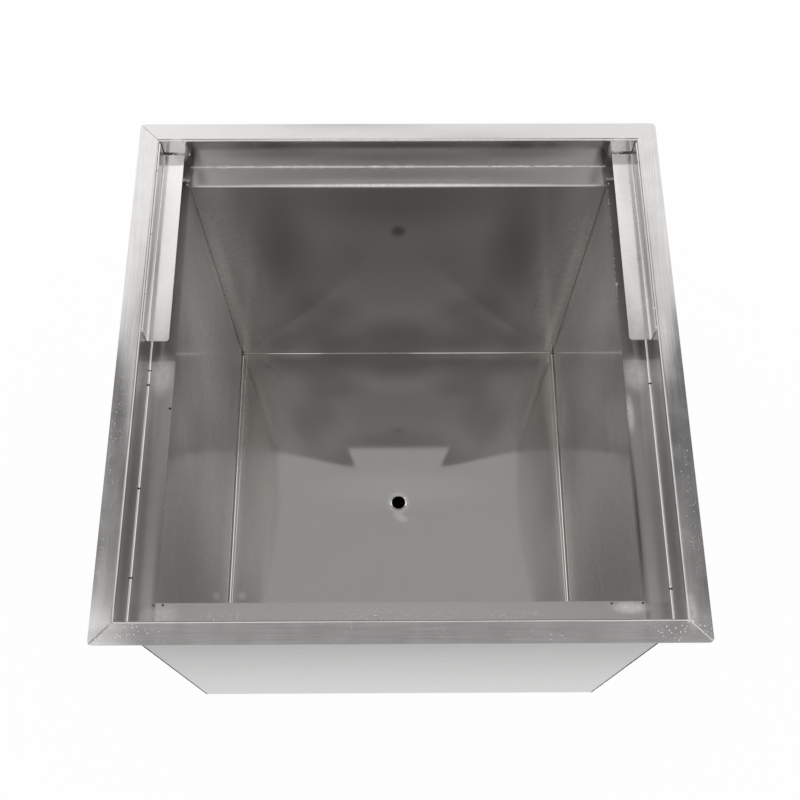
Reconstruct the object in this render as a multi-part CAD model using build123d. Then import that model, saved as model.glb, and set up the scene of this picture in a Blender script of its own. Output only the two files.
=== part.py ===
from build123d import *

import os

# Drop-in insulated ice bin: a stainless well hung from a turned-out rim.
# All sizes are millimetres. X runs to the right, Y to the back and Z up, with the
# origin in the middle of the underside.

# Overall
FLANGE_WIDTH = 614.0  # across the rim, edge to edge, along X
FLANGE_DEPTH = 614.0  # across the rim, edge to edge, along Y
WELL_DEPTH = 540.0  # top of the rim to the edge of the floor

# Shell: four walls, each turned out at the top into its side of the flat rim
SHELL_SHEET = 1.2
SHELL_BEND = 1.5  # inside radius of the rim's fold
RIM_WIDTH = 23.5  # outer edge of the rim to the inside of the wall
RIM_CORNER = 5.0  # radius that the rim's corners are ground to

# Bottom pan, standing inside the shell's walls
PAN_SHEET = 1.0
PAN_BEND = 1.5  # inside radius
PAN_FLANGE = 20.0  # height of its turned-up edges
PAN_RELIEF_GAP = 1.0  # notch past the bends at each corner

# Liner: one sheet folded into both sides and the floor, and two end panels
LINER_SHEET = 1.0
LEDGE_WIDTH = 28.5  # inside of the shell's wall to the inside of the liner's wall
LEDGE_BEND = 2.0  # inside radius where the liner's walls turn out into the ledge
FLOOR_BEND = 4.0  # inside radius along the floor's two sides
FLOOR_BORDER = 6.0  # level strip round the creased part of the floor
FLOOR_DROP = 2.0  # fall from the floor's edge to the drain
DRAIN_FLAT_MARGIN = 5.0  # level metal round the drain's shoulder
FLOOR_FOAM = 28.0  # insulation under the lowest part of the floor

# Cover rails: two angles on the side walls, over the back half of the ledge
RAIL_SHEET = 1.2
RAIL_BEND = 1.5  # inside radius
RAIL_WIDTH = 25.4  # wall to the plate's free edge
RAIL_DROP = 26.0  # top of the rim to the top of the plate
RAIL_TOP_CLEARANCE = 0.1  # leg's top edge below the start of the rim's fold
RAIL_SLOT = 26.8  # underside of the plate to the ledge
RAIL_LENGTH = 248.0
RAIL_BACK_GAP = 2.0  # back wall to the rail's end
RAIL_CORNER = 3.5  # rounding of the plate's free front corner

# Tack welds along the top of each rail's leg, as shares of its length from the back
TACK_RADIUS = 1.8
LEFT_TACK_SHARES = (0.15, 0.49, 0.80, 0.985)
RIGHT_TACK_SHARES = (0.10, 0.53, 0.89, 0.985)

# Drain: a threaded coupling let into the floor, and the rubber bush round its foot
DRAIN_DIAMETER = 32.0  # outside of the coupling
DRAIN_THROAT = 20.7  # bore at the top
DRAIN_MOUTH = 25.0  # bore's rim where it is countersunk
DRAIN_MOUTH_DEPTH = 1.5
DRAIN_THROAT_LENGTH = 6.0
DRAIN_SOCKET = 24.1  # bore of the threaded socket below the throat
DRAIN_FOOT = 1.0  # lower end of the coupling above the underside
DRAIN_FIT = 0.1  # radial room for the coupling in the floor's hole
SHOULDER_WIDTH = 4.0  # collar of the coupling beyond its outside, against the floor's underside
SHOULDER_HEIGHT = 4.0
BUSH_SPIGOT = 3.0  # wall of the bush where it lines the pan's hole
BUSH_RIM = 6.0  # wall of the bush where it lies on the pan
BUSH_HEIGHT = 2.0  # its rim above the pan
BUSH_RECESS = 0.3  # spigot's lower edge above the underside
FOAM_FIT = 0.5  # radial room round the drain in the insulation

# Half spans, from the middle: the rim's edge, the wall's inside, the liner's inside
RIM_X, RIM_Y = FLANGE_WIDTH / 2, FLANGE_DEPTH / 2
WALL_X, WALL_Y = RIM_X - RIM_WIDTH, RIM_Y - RIM_WIDTH
LINER_X, LINER_Y = WALL_X - LEDGE_WIDTH, WALL_Y - LEDGE_WIDTH
LINER_BACK_X, LINER_BACK_Y = LINER_X + LINER_SHEET, LINER_Y + LINER_SHEET
SHOULDER_DIAMETER = DRAIN_DIAMETER + 2 * SHOULDER_WIDTH

# Levels, from the underside
DRAIN_Z = PAN_SHEET + FLOOR_FOAM + LINER_SHEET
FLOOR_Z = DRAIN_Z + FLOOR_DROP
RIM_Z = FLOOR_Z + WELL_DEPTH
RAIL_Z = RIM_Z - RAIL_DROP
LEDGE_Z = RAIL_Z - RAIL_SHEET - RAIL_SLOT
LEDGE_UNDER_Z = LEDGE_Z - LINER_SHEET
RIM_FOLD = SHELL_BEND + SHELL_SHEET  # outside radius of the rim's fold
RAIL_TOP_Z = RIM_Z - RIM_FOLD - RAIL_TOP_CLEARANCE


def block(low, high):
    """Box between two opposite corners."""
    size = Vector(*high) - Vector(*low)
    return Pos(*low) * Box(size.X, size.Y, size.Z, align=(Align.MIN, Align.MIN, Align.MIN))


def folded_section(face_line, sheet, inside_radii):
    """Cross-section of a folded sheet.

    face_line follows one face of the sheet, with the metal on its right, and
    inside_radii gives the inside radius of each fold along it.
    """
    face = [Vector(*point) for point in face_line]
    ways = [(after - before).normalized() for before, after in zip(face, face[1:])]
    rights = [Vector(way.Y, -way.X) for way in ways]
    back = [face[0] + rights[0] * sheet]
    face_radii = []
    back_radii = []
    for index, inside in enumerate(inside_radii):
        before, after = rights[index], rights[index + 1]
        back.append(face[index + 1] + (before + after) * (sheet / (1 + before.dot(after))))
        turns_left = ways[index].cross(ways[index + 1]).Z > 0
        face_radii.append(inside if turns_left else inside + sheet)
        back_radii.append(inside + sheet if turns_left else inside)
    back.append(face[-1] + rights[-1] * sheet)
    radii = [0, *face_radii, 0, 0, *reversed(back_radii), 0]
    return make_face(FilletPolyline(*face, *reversed(back), radius=radii, close=True))


def along_y(section, half_length):
    """Solid of an X-Z section, reaching equally far to the front and the back."""
    return extrude(Plane.XZ * section, amount=half_length, both=True)


def along_x(section, half_length):
    """Solid of a Y-Z section, reaching equally far to the left and the right."""
    return extrude(Plane.YZ * section, amount=half_length, both=True)


def prism(points, height):
    """Upright prism from the underside's level."""
    return extrude(make_face(Polyline(*points, close=True)), amount=height)


def shell_section(wall):
    """Wall and rim flange of one side of the shell, the wall's inside at wall."""
    face_line = [(wall, 0), (wall, RIM_Z), (wall + RIM_WIDTH, RIM_Z)]
    return folded_section(face_line, SHELL_SHEET, [SHELL_BEND])


def ground_corners():
    """What is ground off the rim's four corners."""
    centre = Pos(RIM_X - RIM_CORNER, RIM_Y - RIM_CORNER)
    square = centre * Rectangle(2 * RIM_CORNER, 2 * RIM_CORNER, align=(Align.MIN, Align.MIN))
    back_right = extrude(square - centre * Circle(RIM_CORNER), amount=2 * RIM_Z)
    back = back_right + mirror(back_right, about=Plane.YZ)
    return back + mirror(back, about=Plane.XZ)


def shell_side():
    """Right wall of the shell, mitred at both ends."""
    mitre = [(WALL_X, -WALL_Y), (RIM_X, -RIM_Y), (RIM_X, RIM_Y), (WALL_X, WALL_Y)]
    return (along_y(shell_section(WALL_X), RIM_Y) & prism(mitre, RIM_Z)) - ground_corners()


def shell_end():
    """Back wall of the shell, mitred at both ends."""
    mitre = [(-WALL_X, WALL_Y), (WALL_X, WALL_Y), (RIM_X, RIM_Y), (-RIM_X, RIM_Y)]
    return (along_x(shell_section(WALL_Y), RIM_X) & prism(mitre, RIM_Z)) - ground_corners()


def pan_section(wall):
    """Pan across its width: the floor and two turned-up edges."""
    inside = wall - PAN_SHEET
    face_line = [(-inside, PAN_FLANGE), (-inside, PAN_SHEET), (inside, PAN_SHEET), (inside, PAN_FLANGE)]
    return folded_section(face_line, PAN_SHEET, [PAN_BEND, PAN_BEND])


def bottom_pan():
    """Pan with notched corners and the hole for the drain's bush."""
    relief = PAN_SHEET + PAN_BEND + PAN_RELIEF_GAP
    pan = along_y(pan_section(WALL_X), WALL_Y - relief) + along_x(pan_section(WALL_Y), WALL_X - relief)
    return pan - Cylinder(DRAIN_DIAMETER / 2 + BUSH_SPIGOT, 2 * PAN_FLANGE)


def pan_room():
    """Space that the pan takes up, with its inside folds filled square."""
    inside_x, inside_y = WALL_X - PAN_SHEET, WALL_Y - PAN_SHEET
    pocket = block((-inside_x, -inside_y, PAN_SHEET), (inside_x, inside_y, 2 * PAN_FLANGE))
    pocket = chamfer(pocket.faces().sort_by(Axis.Z)[0].edges(), PAN_BEND)
    return block((-WALL_X, -WALL_Y, 0), (WALL_X, WALL_Y, PAN_FLANGE)) - pocket


def floor_hollow():
    """Space over the creased floor: four slopes down to a level square round the drain."""
    border_x = LINER_X - FLOOR_BEND - FLOOR_BORDER
    border_y = LINER_Y - FLOOR_BORDER
    flat = SHOULDER_DIAMETER + 2 * DRAIN_FLAT_MARGIN
    edge = Pos(0, 0, FLOOR_Z) * Rectangle(2 * border_x, 2 * border_y)
    bottom = Pos(0, 0, DRAIN_Z) * Rectangle(flat, flat)
    return loft([edge, bottom], ruled=True)


def liner_wrap():
    """Both sides and the floor of the liner, with the side ledges and their corner tabs."""
    side_line = [(-WALL_X, LEDGE_Z), (-LINER_X, LEDGE_Z), (-LINER_X, FLOOR_Z)]
    face_line = side_line + [(-x, z) for x, z in reversed(side_line)]
    section = folded_section(face_line, LINER_SHEET, [LEDGE_BEND, FLOOR_BEND, FLOOR_BEND, LEDGE_BEND])
    wrap = along_y(section, LINER_BACK_Y)
    tab = block((LINER_X, LINER_BACK_Y, LEDGE_UNDER_Z), (WALL_X, WALL_Y, LEDGE_Z))
    back_tabs = tab + mirror(tab, about=Plane.YZ)
    hollow = floor_hollow()
    wrap = wrap + back_tabs + mirror(back_tabs, about=Plane.XZ) + Pos(0, 0, -LINER_SHEET) * hollow
    drain_hole = Pos(0, 0, DRAIN_Z) * Cylinder(DRAIN_DIAMETER / 2 + DRAIN_FIT, 4 * LINER_SHEET)
    return wrap - hollow - drain_hole


def liner_end():
    """Back panel of the liner, turned out into the ledge at the top and clear of the floor's bends."""
    face_line = [(LINER_Y, FLOOR_Z), (LINER_Y, LEDGE_Z), (WALL_Y, LEDGE_Z)]
    panel = along_x(folded_section(face_line, LINER_SHEET, [LEDGE_BEND]), LINER_X)
    corner = [(LINER_X, FLOOR_Z), (LINER_X, FLOOR_Z + FLOOR_BEND), (LINER_X - FLOOR_BEND, FLOOR_Z)]
    cut = Pos(0, LINER_Y, 0) * along_y(make_face(Polyline(*corner, close=True)), 2 * LINER_SHEET)
    return panel - cut - mirror(cut, about=Plane.YZ)


def lid_rail():
    """Right cover rail: a leg on the wall and a plate over the ledge."""
    free_edge = WALL_X - RAIL_WIDTH
    leg = WALL_X - RAIL_SHEET
    back_end = WALL_Y - RAIL_BACK_GAP
    section = folded_section([(free_edge, RAIL_Z), (leg, RAIL_Z), (leg, RAIL_TOP_Z)], RAIL_SHEET, [RAIL_BEND])
    rail = Pos(0, back_end - RAIL_LENGTH / 2, 0) * along_y(section, RAIL_LENGTH / 2)
    front_corner = rail.edges().filter_by(Axis.Z).group_by(Axis.X)[0].sort_by(Axis.Y)[0]
    return fillet(front_corner, RAIL_CORNER)


def rail_tacks(shares):
    """Weld beads between the top of the right rail's leg and the wall."""
    corner = block((WALL_X - TACK_RADIUS, -TACK_RADIUS, RAIL_TOP_Z), (WALL_X, TACK_RADIUS, RIM_Z))
    bead = (Pos(WALL_X, 0, RAIL_TOP_Z) * Sphere(TACK_RADIUS)) & corner
    back_end = WALL_Y - RAIL_BACK_GAP
    return Compound(children=[Pos(0, back_end - share * RAIL_LENGTH, 0) * bead for share in shares])


def side_foam():
    """Right slab of insulation, the full depth of the shell."""
    return along_y(foam_section(LINER_BACK_X, WALL_X), WALL_Y) - pan_room()


def end_foam():
    """Back slab of insulation, between the two side slabs."""
    return along_x(foam_section(LINER_BACK_Y, WALL_Y), LINER_BACK_X) - pan_room()


def foam_section(liner, wall):
    """Section of a slab from the pan to the ledge, clear of the ledge's fold."""
    outline = [
        (liner, PAN_SHEET),
        (wall, PAN_SHEET),
        (wall, LEDGE_UNDER_Z),
        (liner + LEDGE_BEND, LEDGE_UNDER_Z),
        (liner, LEDGE_UNDER_Z - LEDGE_BEND),
    ]
    return make_face(Polyline(*outline, close=True))


def floor_foam():
    """Slab under the floor, dished like it, with a hole for the drain."""
    low = (-LINER_BACK_X, -LINER_BACK_Y, PAN_SHEET)
    high = (LINER_BACK_X, LINER_BACK_Y, FLOOR_Z - LINER_SHEET)
    hole = max(SHOULDER_DIAMETER / 2, DRAIN_DIAMETER / 2 + BUSH_RIM) + FOAM_FIT
    return block(low, high) - Pos(0, 0, -LINER_SHEET) * floor_hollow() - Cylinder(hole, 2 * FLOOR_Z)


def turned(outline):
    """Solid of revolution about the drain's axis, from (radius, height) points."""
    return revolve(Plane.XZ * make_face(Polyline(*outline, close=True)), axis=Axis.Z)


def drain_coupling():
    """Coupling with its top level with the floor, a shoulder below it and a socket for the pipe."""
    outside, shoulder = DRAIN_DIAMETER / 2, SHOULDER_DIAMETER / 2
    throat, mouth, socket = DRAIN_THROAT / 2, DRAIN_MOUTH / 2, DRAIN_SOCKET / 2
    shoulder_z = DRAIN_Z - LINER_SHEET
    socket_z = DRAIN_Z - DRAIN_THROAT_LENGTH
    return turned([
        (mouth, DRAIN_Z),
        (outside, DRAIN_Z),
        (outside, shoulder_z),
        (shoulder, shoulder_z),
        (shoulder, shoulder_z - SHOULDER_HEIGHT),
        (outside, shoulder_z - SHOULDER_HEIGHT),
        (outside, DRAIN_FOOT),
        (socket, DRAIN_FOOT),
        (socket, socket_z),
        (throat, socket_z),
        (throat, DRAIN_Z - DRAIN_MOUTH_DEPTH),
    ])


def drain_bush():
    """Rubber bush that lines the pan's hole round the coupling."""
    inside = DRAIN_DIAMETER / 2
    rim_z = PAN_SHEET + BUSH_HEIGHT
    return turned([
        (inside, BUSH_RECESS),
        (inside + BUSH_SPIGOT, BUSH_RECESS),
        (inside + BUSH_SPIGOT, PAN_SHEET),
        (inside + BUSH_RIM, PAN_SHEET),
        (inside + BUSH_RIM, rim_z),
        (inside, rim_z),
    ])


# Pieces made for the right and mirrored to the left
SIDE_PIECES = {"shell": shell_side(), "lid_rail": lid_rail(), "insulation": side_foam()}

# Pieces made for the back and mirrored to the front
END_PIECES = {"shell": shell_end(), "liner": liner_end(), "insulation": end_foam()}

PARTS = {
    "bottom_pan": bottom_pan(),
    "liner_wrap": liner_wrap(),
    "insulation_floor": floor_foam(),
    "drain_coupling": drain_coupling(),
    "drain_bush": drain_bush(),
    "rail_tacks_right": rail_tacks(RIGHT_TACK_SHARES),
    "rail_tacks_left": mirror(rail_tacks(LEFT_TACK_SHARES), about=Plane.YZ),
}
for name, piece in SIDE_PIECES.items():
    PARTS[f"{name}_right"] = piece
    PARTS[f"{name}_left"] = mirror(piece, about=Plane.YZ)
for name, piece in END_PIECES.items():
    PARTS[f"{name}_back"] = piece
    PARTS[f"{name}_front"] = mirror(piece, about=Plane.XZ)

os.makedirs("parts", exist_ok=True)
for node, solid in PARTS.items():
    export_step(solid, f"parts/{node}.step")
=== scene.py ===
"""Dresses a drop-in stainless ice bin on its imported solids: sheet metal, welds, studio and camera."""
from __future__ import annotations

import functools
import logging
import math
from collections.abc import Callable, Sequence
from dataclasses import dataclass, field, replace
from enum import Enum

import bmesh
import bpy
from mathutils import Matrix, Vector, noise

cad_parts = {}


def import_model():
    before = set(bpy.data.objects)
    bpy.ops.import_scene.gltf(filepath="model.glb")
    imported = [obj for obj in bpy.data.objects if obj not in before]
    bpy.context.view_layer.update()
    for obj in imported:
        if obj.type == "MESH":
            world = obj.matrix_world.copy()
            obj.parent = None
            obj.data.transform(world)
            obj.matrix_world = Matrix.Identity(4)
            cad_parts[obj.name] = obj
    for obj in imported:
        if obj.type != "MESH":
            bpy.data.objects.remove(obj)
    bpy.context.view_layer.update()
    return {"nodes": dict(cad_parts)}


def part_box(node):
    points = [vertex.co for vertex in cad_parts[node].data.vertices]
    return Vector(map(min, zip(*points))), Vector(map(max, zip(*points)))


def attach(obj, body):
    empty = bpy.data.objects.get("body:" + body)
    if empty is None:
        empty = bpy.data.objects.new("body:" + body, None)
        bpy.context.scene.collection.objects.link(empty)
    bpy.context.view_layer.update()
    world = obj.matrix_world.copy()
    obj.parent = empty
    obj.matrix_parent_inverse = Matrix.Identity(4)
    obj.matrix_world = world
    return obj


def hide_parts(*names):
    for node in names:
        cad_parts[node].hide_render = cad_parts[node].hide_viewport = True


Socket = bpy.types.NodeSocket
Tree = bpy.types.NodeTree
LOG = logging.getLogger("ice_bin")
MM = 0.001
BODY = "root"
SHEET_UV = "sheet"
# The reverse also gets none of the grit patches, painted shade and painted light
REVERSE = "reverse"  # vertex value that is 1 on a sheet's reverse, where no wear is drawn

# Sheet thickness and inside bend radii of the folded pieces
SHELL_SHEET, SHELL_BEND = 1.2 * MM, 1.5 * MM
LINER_SHEET, LEDGE_BEND, FLOOR_BEND = 1.0 * MM, 2.6 * MM, 3.0 * MM
RAIL_SHEET, RAIL_BEND, RAIL_CORNER = 1.2 * MM, 1.5 * MM, 3.5 * MM
RIM_CORNER = 5.0 * MM  # radius that the rim's outer corners are ground to
DRAIN_HOLE = 16.1 * MM  # radius of the floor's hole, which the coupling fills
BEND_STEPS = 10
FOLD_MARGIN = 0.3 * MM  # flat strip beside a fold, which keeps its shading off the rest of the flat
WIDEST_MARGIN = 0.25  # of a flat's length
SHARP_ANGLE = math.radians(35)
SEED_GAP = 7.3  # how far apart the noise of two seeds is read
TINY = 1e-6


def linear(colour: str) -> tuple[float, float, float, float]:
    """Linear colour of an sRGB hex value.

    Args:
        colour: Six hex digits after a hash.

    Returns:
        Red, green, blue and a full alpha.
    """
    shares = [int(colour[place:place + 2], 16) / 255 for place in (1, 3, 5)]
    red, green, blue = [
        share / 12.92 if share <= 0.04045 else ((share + 0.055) / 1.055) ** 2.4 for share in shares
    ]
    return red, green, blue, 1.0


def darker(colour: str, share: float) -> tuple[float, float, float, float]:
    """Linear colour of an sRGB hex value, dimmed to a share of its brightness."""
    red, green, blue, alpha = linear(colour)
    return share * red, share * green, share * blue, alpha


def add_node(tree: Tree, kind: str, links: dict | None = None, **settings: object) -> bpy.types.Node:
    """Adds a node with its settings, and links or sets its inputs.

    Args:
        tree: Node tree that takes the node.
        kind: Blender's name for the node.
        links: Input name or number, with the value, the socket or the node's first output that it gets.
        settings: Properties of the node itself.

    Returns:
        The new node.
    """
    made = tree.nodes.new(kind)
    for key, value in settings.items():
        setattr(made, key, value)
    for key, value in (links or {}).items():
        if isinstance(value, bpy.types.Node):
            value = value.outputs[0]
        if isinstance(value, Socket):
            tree.links.new(value, made.inputs[key])
        else:
            made.inputs[key].default_value = value
    return made


def new_material(name: str) -> tuple[bpy.types.Material, Tree]:
    """Empty node material.

    Args:
        name: Common name of the real material and how its surface was made.

    Returns:
        The material and its tree.
    """
    material = bpy.data.materials.new(name)
    material.use_nodes = True
    material.node_tree.nodes.clear()
    return material, material.node_tree


def summed(tree: Tree, levels: Sequence[Socket]) -> Socket:
    """Adds the nodes that add up some sockets.

    Args:
        tree: Node tree that takes them.
        levels: Sockets to add.

    Returns:
        Their sum.
    """
    total = levels[0]
    for level in levels[1:]:
        total = add_node(tree, "ShaderNodeMath", {0: total, 1: level}, operation="ADD").outputs[0]
    return total


def linked(name: str, data: bpy.types.ID) -> bpy.types.Object:
    """New object with the given data, linked to the scene."""
    made = bpy.data.objects.new(name, data)
    bpy.context.scene.collection.objects.link(made)
    return made


def meshed(name: str, mesh: bmesh.types.BMesh) -> bpy.types.Object:
    """New object from a working mesh, which is freed."""
    data = bpy.data.meshes.new(name)
    mesh.to_mesh(data)
    mesh.free()
    return linked(name, data)


def spaced(breaks: Sequence[float], step: float) -> list[float]:
    """Values through every break, no further apart than the step.

    Args:
        breaks: Values to pass through.
        step: Widest gap.

    Returns:
        The values in rising order.
    """
    marks = sorted(breaks)
    values = [marks[0]]
    for low, high in zip(marks, marks[1:]):
        count = max(1, math.ceil((high - low) / step - TINY))
        values += [low + (high - low) * index / count for index in range(1, count + 1)]
    return values


class Run(Enum):
    """Way that a sheet's folds run."""

    SIDE = "along Y"
    END = "along X"


class Side(Enum):
    """Sign that mirrors a piece made for the right or the back."""

    AS_DRAWN = 1
    MIRRORED = -1


@dataclass(frozen=True)
class BinSizes:
    """Places that the pieces share, in metres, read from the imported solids."""

    rim_x: float
    rim_y: float
    wall_x: float
    wall_y: float
    liner_x: float
    liner_y: float
    rim_z: float
    ledge_z: float
    floor_z: float
    drain_z: float

    @classmethod
    def from_frame(cls) -> BinSizes:
        """Reads the places from the solids' boxes."""
        side_low, side_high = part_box("shell_right")
        end_low, end_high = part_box("shell_back")
        liner_low, liner_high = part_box("liner_back")
        wrap_low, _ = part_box("liner_wrap")
        return cls(
            rim_x=side_high.x,
            rim_y=end_high.y,
            wall_x=side_low.x,
            wall_y=end_low.y,
            liner_x=liner_high.x,
            liner_y=liner_low.y,
            rim_z=side_high.z,
            ledge_z=liner_high.z,
            floor_z=liner_low.z,
            drain_z=wrap_low.z + LINER_SHEET,
        )


@dataclass(frozen=True)
class Station:
    """One row of a folded sheet: its place on the section and how far the sheet may bow there."""

    place: Vector
    back: Vector
    along: float
    slack: float


def face_stations(
    corners: Sequence[tuple[float, float]],
    inside_radii: Sequence[float | None],
    sheet: float,
    step: float,
    cuts: Sequence[float] = (),
    rises: Sequence[float] = (),
) -> list[Station]:
    """Rows along a folded section's face line, which has the metal on its right.

    Args:
        corners: Sharp corners of the face line, as (across, up).
        inside_radii: Inside radius of each bend, or None for a sharp right angle.
        sheet: Thickness of the metal.
        step: Widest gap between rows on a flat.
        cuts: Values of across that a level flat has a row at.
        rises: Values of up that an upright flat has a row at.

    Returns:
        The rows in order.
    """
    points = [Vector(corner) for corner in corners]
    rows: list[Station] = []
    travelled = 0.0
    start = points[0]
    from_sharp = False
    for index in range(1, len(points)):
        way = (points[index] - points[index - 1]).normalized()
        back = Vector((way.y, -way.x))
        last = index == len(points) - 1
        inside = 0.0 if last else inside_radii[index - 1]
        to_sharp = inside is None
        stop, setback = points[index], 0.0
        if not last:
            next_way = (points[index + 1] - points[index]).normalized()
            turn = way.angle(next_way)
            right_turn = way.cross(next_way) < 0
            if not to_sharp:
                radius = inside + (sheet if right_turn else 0.0)
                setback = radius * math.tan(turn / 2)
                stop = points[index] - way * setback
        length = (stop - start).length
        margin = min(WIDEST_MARGIN, FOLD_MARGIN / length)
        marks = [0.0, margin, 1.0 - margin, 1.0]
        if abs(way.y) < TINY:
            marks += [(cut - start.x) / (stop.x - start.x) for cut in cuts]
        if abs(way.x) < TINY:
            marks += [(rise - start.y) / (stop.y - start.y) for rise in rises]
        shares = spaced([mark for mark in marks if 0.0 <= mark <= 1.0], step / length)
        for share in shares[int(from_sharp):len(shares) - int(to_sharp)]:
            slack = math.sin(math.pi * share)
            rows.append(Station(start.lerp(stop, share), back, travelled + share * length, slack))
        travelled += length
        from_sharp = to_sharp
        if last:
            break
        if to_sharp:
            rows.append(Station(stop, back + Vector((next_way.y, -next_way.x)), travelled, 0.0))
        else:
            hand = -1.0 if right_turn else 1.0
            centre = stop - hand * back * radius
            for bend in range(1, BEND_STEPS):
                spin = Matrix.Rotation(hand * turn * bend / BEND_STEPS, 2)
                turned_back = spin @ back
                place = centre + hand * turned_back * radius
                rows.append(Station(place, turned_back, travelled + radius * turn * bend / BEND_STEPS, 0.0))
            travelled += radius * turn
        start = points[index] + next_way * setback
    return rows


@dataclass
class DrainHole:
    """Round hole in a sheet, let into a square patch of its rows and columns."""

    half_patch: float
    radius: float
    rings: int = 3


@dataclass
class FoldedSheet:
    """Closed mesh of one folded sheet, gently bowed between its folds."""

    name: str
    rows: list[Station]
    sheet: float
    run: Run
    shares: list[float]
    ends: Callable[[Vector], tuple[float, float]]
    side: Side = Side.AS_DRAWN
    bow: float = 0.0
    bow_span: float = 180 * MM
    seed: int = 1
    relief: Callable[[Vector, float], float] | None = None
    hole: DrainHole | None = None
    marks: dict = field(default_factory=dict)

    def point(self, across: float, along: float, up: float) -> Vector:
        """Place in the bin's frame of a point of the section at a distance along the folds."""
        flip = self.side.value
        if self.run is Run.SIDE:
            return Vector((flip * across, along, up))
        return Vector((along, flip * across, up))

    def add_pair(self, mesh: bmesh.types.BMesh, row: Station, along: float, proud: float) -> tuple:
        """Adds a point of the face and the one behind it.

        Args:
            mesh: Mesh that takes them.
            row: Row that the point lies on.
            along: Distance along the folds.
            proud: How far the sheet bows out of its face.

        Returns:
            The face's vertex and the back's.
        """
        lift = self.relief(row.place, along) if self.relief else 0.0
        face = row.place - row.back * proud
        back = face + row.back * self.sheet
        pair = []
        reverse = mesh.verts.layers.float[REVERSE]
        for spot, hidden in ((face, 0.0), (back, 1.0)):
            vertex = mesh.verts.new(self.point(spot.x, along, spot.y + lift))
            vertex[reverse] = hidden
            self.marks[vertex] = (along, row.along)
            pair.append(vertex)
        return tuple(pair)

    def in_patch(self, index: int, column: int, grid: list[list[tuple]]) -> bool:
        """Says whether a cell of the grid lies in the drain's patch."""
        if not self.hole:
            return False
        corner, opposite = grid[index][column][0].co, grid[index + 1][column + 1][0].co
        middle = (corner + opposite) / 2
        level = abs(self.rows[index].back.y + 1) < TINY
        floor = middle.z < self.rows[0].place.y / 2
        return level and floor and max(abs(middle.x), abs(middle.y)) < self.hole.half_patch

    def cut_hole(self, mesh: bmesh.types.BMesh, grid: list[list[tuple]]) -> None:
        """Fills the drain's patch with rings that end in the round hole.

        Args:
            mesh: Mesh that the patch was left open in.
            grid: Face and back vertices, by row and column.
        """
        inside = [
            (index, column)
            for index in range(len(grid) - 1)
            for column in range(len(grid[0]) - 1)
            if self.in_patch(index, column, grid)
        ]
        low, high = min(i for i, _ in inside), max(i for i, _ in inside) + 1
        left, right = min(c for _, c in inside), max(c for _, c in inside) + 1
        loop = [grid[low][column] for column in range(left, right)]
        loop += [grid[index][right] for index in range(low, high)]
        loop += [grid[high][column] for column in range(right, left, -1)]
        loop += [grid[index][left] for index in range(high, low, -1)]
        outer = loop
        _, _, nearest = min((row.place.y, abs(row.place.x), index) for index, row in enumerate(self.rows))
        level = self.rows[nearest]
        for ring in range(1, self.hole.rings + 1):
            share = ring / self.hole.rings
            inner = []
            for face, _ in loop:
                flat = Vector((face.co.x, face.co.y))
                spot = flat.lerp(flat.normalized() * self.hole.radius, share)
                along = level.along + spot.x - level.place.x
                row = Station(Vector((spot.x, level.place.y)), level.back, along, 0.0)
                inner.append(self.add_pair(mesh, row, spot.y, 0.0))
            self.bridge(mesh, outer, inner)
            outer = inner
        for here, there in zip(outer, outer[1:] + outer[:1]):
            mesh.faces.new((here[0], there[0], there[1], here[1]))

    @staticmethod
    def bridge(mesh: bmesh.types.BMesh, outer: list[tuple], inner: list[tuple]) -> None:
        """Joins two closed loops of pairs with faces on both sides of the sheet."""
        count = len(outer)
        for index in range(count):
            after = (index + 1) % count
            for layer in (0, 1):
                mesh.faces.new((
                    outer[index][layer], outer[after][layer], inner[after][layer], inner[index][layer]
                ))

    def build(self) -> bpy.types.Object:
        """Makes the closed mesh, with its UV map in metres along and across the grain.

        Returns:
            The piece, linked to the scene.
        """
        mesh = bmesh.new()
        mesh.verts.layers.float.new(REVERSE)
        grid: list[list[tuple]] = []
        for row in self.rows:
            start, stop = self.ends(row.place)
            line = []
            for share in self.shares:
                along = start + share * (stop - start)
                ripple = noise.noise((row.along / self.bow_span, along / self.bow_span, SEED_GAP * self.seed))
                proud = self.bow * row.slack * math.sin(math.pi * share) * ripple
                line.append(self.add_pair(mesh, row, along, proud))
            grid.append(line)
        last_row, last_column = len(grid) - 1, len(self.shares) - 1
        for index in range(last_row):
            for column in range(last_column):
                if self.in_patch(index, column, grid):
                    continue
                near, far = grid[index], grid[index + 1]
                cell = (near[column], near[column + 1], far[column + 1], far[column])
                for layer in (0, 1):
                    mesh.faces.new([pair[layer] for pair in cell])
        sides = ([line[0] for line in grid], [line[last_column] for line in grid])
        for line in (grid[0], grid[last_row], *sides):
            for here, there in zip(line, line[1:]):
                mesh.faces.new((here[0], there[0], there[1], here[1]))
        if self.hole:
            self.cut_hole(mesh, grid)
        bmesh.ops.recalc_face_normals(mesh, faces=mesh.faces[:])
        layer = mesh.loops.layers.uv.new(SHEET_UV)
        for face in mesh.faces:
            face.smooth = True
            for loop in face.loops:
                loop[layer].uv = self.marks[loop.vert]
        self.marks.clear()
        piece = meshed(self.name, mesh)
        piece.data.set_sharp_from_angle(angle=SHARP_ANGLE)
        return piece


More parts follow.
